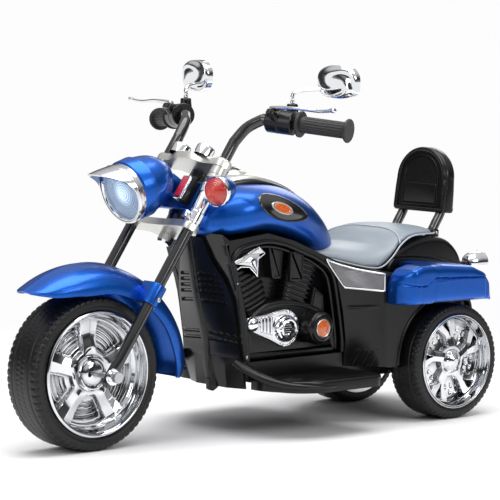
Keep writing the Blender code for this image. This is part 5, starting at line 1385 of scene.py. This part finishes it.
RISE = curve([(-0.262, 0.0030, 0.0100), (-0.272, 0.0085, 0.0230), (-0.290, 0.0125, 0.0325),
              (-0.335, 0.0150, 0.0375), (-0.375, 0.0125, 0.0345), (-0.430, 0.0085, 0.0225),
              (-0.474, 0.0050, 0.0105), (-0.486, 0.0020, 0.0040)], 9)
a = np.linspace(0, np.pi, 49)
for name, wider, lift, made, slot in (("console_base", 0.0065, -0.0060, satin_black,
                                       "black_plastic"),
                                      ("console_top", 0.0, 0.0, silver, "silver")):
    b = RISE[:, 0, None] + 0 * a
    rise, half = RISE[:, 1, None] + lift, RISE[:, 2, None] + wider
    y = half * np.sign(np.cos(a)) * np.abs(np.cos(a)) ** 0.75
    top = tank_row(b)[0]
    sag = (tank_surface(b, np.arccos(np.clip(np.sign(y) * (np.abs(y) / tank_row(b)[1]) ** 1.25,
                                             -1, 1)))[..., 2])
    z = sag - 0.002 + (top - sag) * 0.55 * np.sin(a) + (rise + 0.002) * np.abs(np.sin(a)) ** 0.6
    points = at(b, y, z)
    piece = skin(name, points, made, close_columns=True, cap=True, crease=45)
    if name == "console_top":
        belong(piece, "chassis", slot, "tank_console")
    else:
        belong(piece, "chassis", slot)
cap_at = at(-0.318, 0.0, 0.4380)
filler = [(-0.0060, 0.0245), (0.0010, 0.0245), (0.0022, 0.0236), (0.0024, 0.0205), (0.0010, 0.0195),
          (0.0035, 0.0185), (0.0070, 0.0140), (0.0088, 0.0075), (0.0092, 0.0)]
belong(turned("filler_cap", filler, cap_at, (0.02, 0, 1), silver, 72), "chassis", "silver")
belong(turned("filler_boss", [(0.0040, 0.0150), (0.0078, 0.0140), (0.0104, 0.0105),
                              (0.0120, 0.0055), (0.0124, 0.0)], cap_at, (0.02, 0, 1),
              gloss_black, 48), "chassis", "black_plastic")

# ---- saddle ----------------------------------------------------------------------------------
# A padded saddle in satin grey skin over a base board. It is drawn down in front to wrap the
# tank's tail, dips, then rises to a step behind; a piped seam crosses at the step.

seat_skin = finish("grey_seat_skin", (0.235, 0.270, 0.305), 0.40, grain=(900.0, 0.00010),
                   cloud=(14.0, 0.07), rough_cloud=0.06)
creases = seat_skin.node_tree.nodes.new("ShaderNodeTexVoronoi")
creases.feature = "DISTANCE_TO_EDGE"
creases.inputs["Scale"].default_value = 520.0
leather = seat_skin.node_tree.nodes.new("ShaderNodeBump")
leather.inputs["Distance"].default_value = 0.00012
leather.inputs["Strength"].default_value = 0.5
seat_skin.node_tree.links.new(seat_skin.node_tree.nodes["Texture Coordinate"].outputs["Object"],
                              creases.inputs["Vector"])
seat_skin.node_tree.links.new(creases.outputs["Distance"], leather.inputs["Height"])
seat_skin.node_tree.links.new(leather.outputs["Normal"],
                              seat_skin.node_tree.nodes["Bump"].inputs["Normal"])

SEAT = curve([  # behind the axle, top, half width, side bottom, middle bottom
    (-0.4500, 0.3060, 0.050, 0.2945, 0.298), (-0.4620, 0.3085, 0.0585, 0.2915, 0.292),
    (-0.4880, 0.3100, 0.0700, 0.2840, 0.284), (-0.5150, 0.3090, 0.0830, 0.2760, 0.273),
    (-0.5450, 0.3060, 0.0960, 0.2690, 0.264), (-0.5700, 0.3060, 0.1035, 0.2690, 0.264),
    (-0.5950, 0.3120, 0.1045, 0.2850, 0.272), (-0.6200, 0.3265, 0.1010, 0.3060, 0.292),
    (-0.6500, 0.3350, 0.0960, 0.3180, 0.307), (-0.6900, 0.3365, 0.0890, 0.3195, 0.317),
    (-0.7170, 0.3340, 0.0800, 0.3185, 0.316), (-0.7300, 0.3280, 0.0700, 0.3185, 0.316)], 8)


def seat_section(turn, grow=0.0):
    """Powers of cosine and sine on top; below, the side edge rises to the board in the middle."""
    b, top, half, low, board = (SEAT[:, k, None] for k in range(5))
    c, s = np.cos(turn)[None, :], np.sin(turn)[None, :]
    y = np.sign(c) * np.abs(c) ** 0.62 * (half + grow)
    edge = low + 0.0035
    z = np.where(s > 0, edge + (top + grow - edge) * np.abs(s) ** 0.90,
                 edge - 0.0035 * np.abs(s) ** 0.5 + (board - low) * np.abs(s) ** 3)
    return at(b + 0 * y, y, z)


SEAT_MOVE = 0.006                # the furthest any point of the skin may swell
seat_turn = np.linspace(0, 2 * np.pi, 96, endpoint=False)
pad = skin("saddle_pad", seat_section(seat_turn, -0.0012), seat_skin, close_columns=True, cap=True,
           crease=60)
remesh = pad.modifiers.new("even_mesh", "REMESH")
remesh.mode = "VOXEL"
remesh.voxel_size = 0.0042
held = bpy.context.evaluated_depsgraph_get()
even = bpy.data.meshes.new_from_object(pad.evaluated_get(held))
pad.modifiers.clear()
pad.data = even
points = np.empty(len(even.vertices) * 3)
even.vertices.foreach_get("co", points)
points = points.reshape(-1, 3)
half = np.interp(-points[:, 0] + FRONT[0], -SEAT[:, 0], SEAT[:, 2])
low = np.interp(-points[:, 0] + FRONT[0], -SEAT[:, 0], SEAT[:, 3])
pinned = np.where(points[:, 2] < low + 0.006)[0]
group = pad.vertex_groups.new(name="board")
group.add(pinned.tolist(), 1.0, "REPLACE")
cloth = pad.modifiers.new("stuffing", "CLOTH")
cloth.settings.quality = 6
cloth.settings.mass = 0.25
cloth.settings.tension_stiffness = 30
cloth.settings.compression_stiffness = 30
cloth.settings.bending_stiffness = 1.5
cloth.settings.use_pressure = True
cloth.settings.uniform_pressure_force = 4.0
cloth.settings.effector_weights.gravity = 0.0
cloth.settings.vertex_group_mass = "board"
cloth.point_cache.frame_start = 1
cloth.point_cache.frame_end = 20
for step in range(1, 21):
    bpy.context.scene.frame_set(step)
held = bpy.context.evaluated_depsgraph_get()
swollen = bpy.data.meshes.new_from_object(pad.evaluated_get(held))
moved = np.empty(len(swollen.vertices) * 3)
swollen.vertices.foreach_get("co", moved)
moved = moved.reshape(-1, 3)
shift = moved - points
far = np.linalg.norm(shift, axis=1, keepdims=True)
moved = points + shift * np.minimum(1.0, SEAT_MOVE / np.maximum(far, 1e-9))
swollen.vertices.foreach_set("co", moved.ravel())
pad.modifiers.clear()
pad.data = swollen
bpy.context.scene.frame_set(1)
relax = pad.modifiers.new("relax", "CORRECTIVE_SMOOTH")
relax.iterations = 12
relax.use_only_smooth = True
finer = pad.modifiers.new("finer", "SUBSURF")
finer.levels = finer.render_levels = 1
held = bpy.context.evaluated_depsgraph_get()
final = bpy.data.meshes.new_from_object(pad.evaluated_get(held))
pad.modifiers.clear()
pad.data = final
pad.data.shade_smooth()
pad.data.materials.clear()
pad.data.materials.append(seat_skin)
belong(pad, "chassis", "seat_grey", "seat")

piping = finish("light_piping", (0.42, 0.45, 0.48), 0.38, grain=(900.0, 0.00006),
                cloud=(40.0, 0.06))
for side, word in SIDES:
    b, top, half, low = (SEAT[4:-3, k] for k in range(4))
    edge = at(b, side * (half + 0.0008), low + 0.0030)
    belong(tube("seat_piping_" + word, edge, 0.0015, piping, sides=12), "chassis", "seat_grey")
b0 = -0.618
top, half, low = (float(np.interp(-b0, -SEAT[:, 0], SEAT[:, k])) for k in (1, 2, 3))
s = np.linspace(0.06, np.pi - 0.06, 60)
c = np.cos(s)
y = np.sign(c) * np.abs(c) ** 0.62 * half * 0.985
b = b0 - 0.020 * (1 - np.abs(c) ** 2)
top_here = np.interp(-b, -SEAT[:, 0], SEAT[:, 1])
z = low + 0.0035 + (top_here - low - 0.0035) * np.sin(s) ** 0.90 + 0.0006
belong(tube("seat_cross_seam", at(b, y, z), 0.0013, piping, sides=10, upright=(1, 0, 0)),
       "chassis", "seat_grey")

# ---- vents under the saddle ------------------------------------------------------------------
# A four-sided grille of moulded mesh fills each shoulder below the saddle, in a plated frame.

mesh_grey = finish("vent_mesh", (0.30, 0.30, 0.31), 0.20, metal=0.95, grain=(900.0, 0.00002),
                   cloud=(30.0, 0.2))
for side, word in SIDES:
    corners = np.array([(-0.4600, 0.2900), (-0.5500, 0.2640), (-0.5500, 0.2340),
                        (-0.4930, 0.2400)])
    u, v = np.meshgrid(np.linspace(0, 1, 150), np.linspace(0, 1, 70))
    top_edge = corners[0] + (corners[1] - corners[0]) * u[..., None]
    top_edge[..., 1] -= 0.0040 * np.sin(np.pi * u)
    low_edge = corners[3] + (corners[2] - corners[3]) * u[..., None]
    spot = top_edge + (low_edge - top_edge) * v[..., None]
    b, z = spot[..., 0], spot[..., 1]
    weave = np.maximum(np.cos(2 * np.pi * (b + z) / 0.0042), np.cos(2 * np.pi * (b - z) / 0.0042))
    y = sweep_y(b, z) + 0.0005 + 0.0016 * smooth_step(weave, 0.35, 0.75)
    back = at(b, side * (sweep_y(b, z) - 0.002), z)
    points = np.concatenate([at(b, side * y, z), back[:, ::-1]], 1)
    belong(skin("vent_grille_" + word, points, mesh_grey, close_columns=True, cap=True, crease=30),
           "chassis", "chrome")
    rim = np.vstack([spot[0, ::6], spot[::6, -1], spot[-1, ::-6], spot[::-6, 0]])
    frame_line = at(rim[:, 0], side * (sweep_y(rim[:, 0], rim[:, 1]) + 0.0016), rim[:, 1])
    frame_line = np.vstack([frame_line, frame_line[:2]])
    keep = np.r_[True, np.linalg.norm(np.diff(frame_line, axis=0), axis=1) > 1e-5]
    belong(tube("vent_frame_" + word, frame_line[keep], 0.0017, chrome, sides=12,
                upright=(0, 1, 0)), "chassis", "chrome")

# ---- side boxes ------------------------------------------------------------------------------
# Painted boxes over the rear wheels, moulded as a tub and a lid. The lid's edge drops at the
# front pod, and a raised outline frames the side.

BOX_FRONT, BOX_LENGTH = -0.5570, 0.2010     # from the axle, then rearwards
BOX_LOW = 0.2115                            # height of the tub's underside
BOX_OUTER, BOX_INNER = 0.1885, 0.0870       # half widths, outboard face and inboard face
LID_STEP, FRAME_STEP, GAP_DEPTH, CREASE_DEPTH = 0.0012, 0.0018, 0.0022, 0.0014
turn = np.linspace(0, 2 * np.pi, 6001)
ring_y = np.sign(np.cos(turn)) * np.abs(np.cos(turn)) ** 0.30
ring_z = np.sign(np.sin(turn)) * np.abs(np.sin(turn)) ** 0.36
run = np.r_[0, np.cumsum(np.hypot(np.diff(ring_y), np.diff(ring_z)))]
even = np.linspace(0, run[-1], 241)[None, :-1]
ring_y, ring_z = np.interp(even, run, ring_y), np.interp(even, run, ring_z)
for side, word in SIDES:
    u = np.linspace(0, 1, 160)[:, None]                    # along the box
    b = BOX_FRONT - BOX_LENGTH * u
    top = np.interp(-b, [0.557, 0.562, 0.572, 0.590, 0.640, 0.715, 0.742, 0.752, 0.758],
                    [0.250, 0.263, 0.273, 0.2785, 0.2797, 0.2725, 0.2610, 0.2450, 0.2150])
    low = BOX_LOW - 0.002 * u
    outer = BOX_OUTER - 0.034 * np.clip(1 - u / 0.10, 0, 1) ** 2
    outer = outer - 0.004 * smooth_step(u, 0.96, 1.0)
    inner = BOX_INNER + 0.047 * smooth_step(b, -0.626, -0.612)
    middle_y, half_y = (outer + inner) / 2, (outer - inner) / 2
    middle_z, half_z = (top + low) / 2, (top - low) / 2
    y = middle_y + half_y * ring_y
    z = middle_z + half_z * ring_z
    line = np.interp(-b, [0.557, 0.590, 0.600, 0.620, 0.758],
                     [0.2475, 0.2440, 0.2450, 0.2570, 0.2505])
    gap = np.exp(-((z - line) / 0.0011) ** 2) * (ring_y > 0.0)
    frame_d = np.maximum(np.abs((b + 0.681) / 0.062), np.abs((z - 0.2335) / 0.0185))
    raised = smooth_step(-frame_d, -1.0, -0.95) * (b < -0.612) * (ring_y > 0.7)
    crease_line = np.exp(-((b + 0.586 - 0.10 * (z - 0.245)) / 0.0013) ** 2)
    crease_line = crease_line * (z < line) * (ring_y > 0.6)
    lid = smooth_step(z, line, line + 0.0010) * (ring_y > 0.0)
    y = y + LID_STEP * lid + FRAME_STEP * raised - GAP_DEPTH * gap - CREASE_DEPTH * crease_line
    box = skin("side_box_" + word, at(b + 0 * y, side * y, z), blue, close_columns=True, cap=True,
               crease=38)
    belong(box, "chassis", "blue_paint", "saddlebag_" + word)

# ---- rear fender, backrest and tail lamps ----------------------------------------------------
# A black domed moulding carries the saddle's tail. A bent tube rises from it and holds an
# arched moulded backrest; two plated bullet lamps stand out behind on short stalks.

DOME = curve([(-0.6005, 0.2510), (-0.6010, 0.2690), (-0.6150, 0.2870), (-0.6500, 0.3050),
              (-0.6900, 0.3148), (-0.7370, 0.3135), (-0.7680, 0.2975), (-0.7860, 0.2745),
              (-0.7915, 0.2510)], 7)
dome = plate("rear_dome", DOME, lambda b, z, y: at(b, y, z), -0.0850, 0.0850, satin_black,
             edge=0.0110, both=True, crease=50)
belong(dome, "chassis", "black_plastic", "rear_fender")
for side, word in SIDES:
    shelf = curve([(-0.6060, 0.2855), (-0.6500, 0.2858), (-0.6930, 0.2820), (-0.7300, 0.2760),
                   (-0.7600, 0.2680)], 6)
    belong(tube("dome_ledge_" + word, at(shelf[:, 0], side * 0.0850, shelf[:, 1]), 0.0030,
                satin_black, sides=14, upright=(0, 1, 0)), "chassis", "black_plastic")

LEAN = np.array([-0.115, 0.0, 1.0]) / np.linalg.norm([-0.115, 0.0, 1.0])
REST = at(-0.7770, 0.0, 0.4010)
REST_BACK = np.cross(LEFT, LEAN)


def rest_plan(y, up, depth):
    """Across, up the leaning backrest and out of its face."""
    y, up, depth = (np.asarray(v, float)[..., None] for v in np.broadcast_arrays(y, up, depth))
    return REST + LEFT * y + LEAN * up + REST_BACK * depth


a = np.linspace(0, np.pi, 40)
arch_line = np.vstack([np.stack([0.0620 * np.cos(a), 0.012 + 0.056 * np.sin(a)], -1),
                       [(-0.0640, -0.010), (-0.0655, -0.0480), (0.0655, -0.0480),
                        (0.0640, -0.010)]])
arch_line = rounded(arch_line, np.r_[np.full(40, 0.001), 0.006, 0.004, 0.004, 0.006], 4)
forward = 1.0 if REST_BACK[0] > 0 else -1.0


def face_plan(y, up, depth):
    return rest_plan(y, up, forward * np.asarray(depth))


rest = plate("backrest_moulding", arch_line, face_plan, -0.0140, 0.0125, satin_black,
             edge=0.0085, both=True, crease=50)
belong(rest, "chassis", "black_plastic", "backrest")
rim = arch_line * (0.925, 0.93)
rim = face_plan(rim[:, 0], rim[:, 1], 0.0118)
belong(tube("backrest_rim", np.vstack([rim, rim[:1] + (rim[1] - rim[0]) * 0.01]), 0.0042,
            satin_black, sides=14, upright=tuple(REST_BACK)), "chassis", "black_plastic")
a = np.linspace(0, np.pi, 30)
recess = np.vstack([np.stack([0.0440 * np.cos(a), 0.014 + 0.040 * np.sin(a)], -1),
                    [(-0.0450, -0.0380), (0.0450, -0.0380)]])
panel = plate("backrest_panel", rounded(recess, 0.002, 3), face_plan, 0.0110, 0.0140, satin_black,
              edge=0.0012, groove=0.0016, groove_at=0.0030)
belong(panel, "chassis", "black_plastic")
lower = rounded([(-0.0400, 0.0020), (0.0400, 0.0020), (0.0410, -0.0330), (-0.0410, -0.0330)], 0.003)
belong(plate("backrest_step", lower, face_plan, 0.0110, 0.0140, satin_black, edge=0.0014),
       "chassis", "black_plastic")

foot = at(-0.7460, 0.0476, 0.3155)
path = curve([at(-0.7760, 0.0476, 0.3860), at(-0.7690, 0.0476, 0.3560),
              at(-0.7530, 0.0476, 0.3310), foot, foot + (0, 0, -0.044),
              foot + (0.004, -0.020, -0.052)], 6)
path = np.vstack([path, (path * (1, -1, 1))[::-1]])
belong(tube("backrest_tube", path, 0.0085, enamel, upright=(1, 0, 0)), "chassis", "black_steel",
       "backrest_frame")
for side, word in SIDES:
    collar = [(-0.0060, 0.0090), (-0.0060, 0.0125), (0.0, 0.0130), (0.0080, 0.0125),
              (0.0100, 0.0112), (0.0100, 0.0088)]
    belong(turned("post_collar_" + word, collar, mirrored(foot, side), LEAN, satin_black,
                  closed=True), "chassis", "black_plastic")
    screw("post_screw_" + word, mirrored(foot + (0, 0.0125, 0) + LEAN * 0.004, side), (0, side, 0),
          0.0030, "chassis", "zinc_steel", zinc, 0.0015)
    centre = at(-0.8476, side * 0.060, 0.2600)
    bullet = np.vstack([[(-0.030, 0.0)], curve([(-0.0298, 0.0012), (-0.026, 0.0122),
                                                (-0.012, 0.0196), (0.006, 0.0208)], 7),
                        [(0.0085, 0.0214), (0.0110, 0.0210), (0.0116, 0.0188), (0.0116, 0.0)]])
    belong(turned("tail_lamp_shell_" + word, bullet, centre, (-1, 0, 0), chrome, 64), "chassis",
           "chrome", "tail_lamp_" + word)
    tail_red = lens_material("tail_lens_red_" + word, (0.50, 0.006, 0.005),
                             centre - (0.016, 0, 0), 0.014, (1.0, 0.08, 0.02), 0.15, 3000.0)
    r = np.linspace(0.0186, 0.0001, 50)
    swell = 0.0110 + 0.0112 * (1 - (r / 0.0188) ** 2.2) + 0.0002 * np.cos(r * 3000)
    lens = np.stack([swell, r], -1)
    lens = np.vstack([[(0.0105, 0.0186)], lens, [(0.0224, 0.0)]])
    belong(turned("tail_lens_" + word, lens, centre, (-1, 0, 0), tail_red, 64), "chassis",
           "red_lens")
    root = at(-0.7935, side * 0.060, 0.2550)
    belong(tube("tail_stalk_" + word, curve([root, (root + centre) / 2 + (0, 0, 0.001),
                                             centre + (0.012, 0, 0)], 5),
                np.linspace(0.0090, 0.0060, 11), satin_black), "chassis", "black_plastic")
    guard = at(np.array([-0.760, -0.790, -0.800]), side * 0.093, np.array([0.207, 0.200, 0.170]))
    belong(tube("wheel_guard_" + word, curve(guard, 6), 0.0075, satin_black, flat=0.7), "chassis",
           "black_plastic")

# ---- inside ----------------------------------------------------------------------------------
# The battery and the motor's gear case sit hidden in the body and keep the frame's shapes.

coat(("battery",), finish("battery_case_grey", (0.045, 0.046, 0.050), 0.38, cloud=(30.0, 0.15)))
coat(("drive_unit",), finish("gear_case_white", (0.62, 0.62, 0.59), 0.42, cloud=(30.0, 0.06)))

low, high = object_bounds()
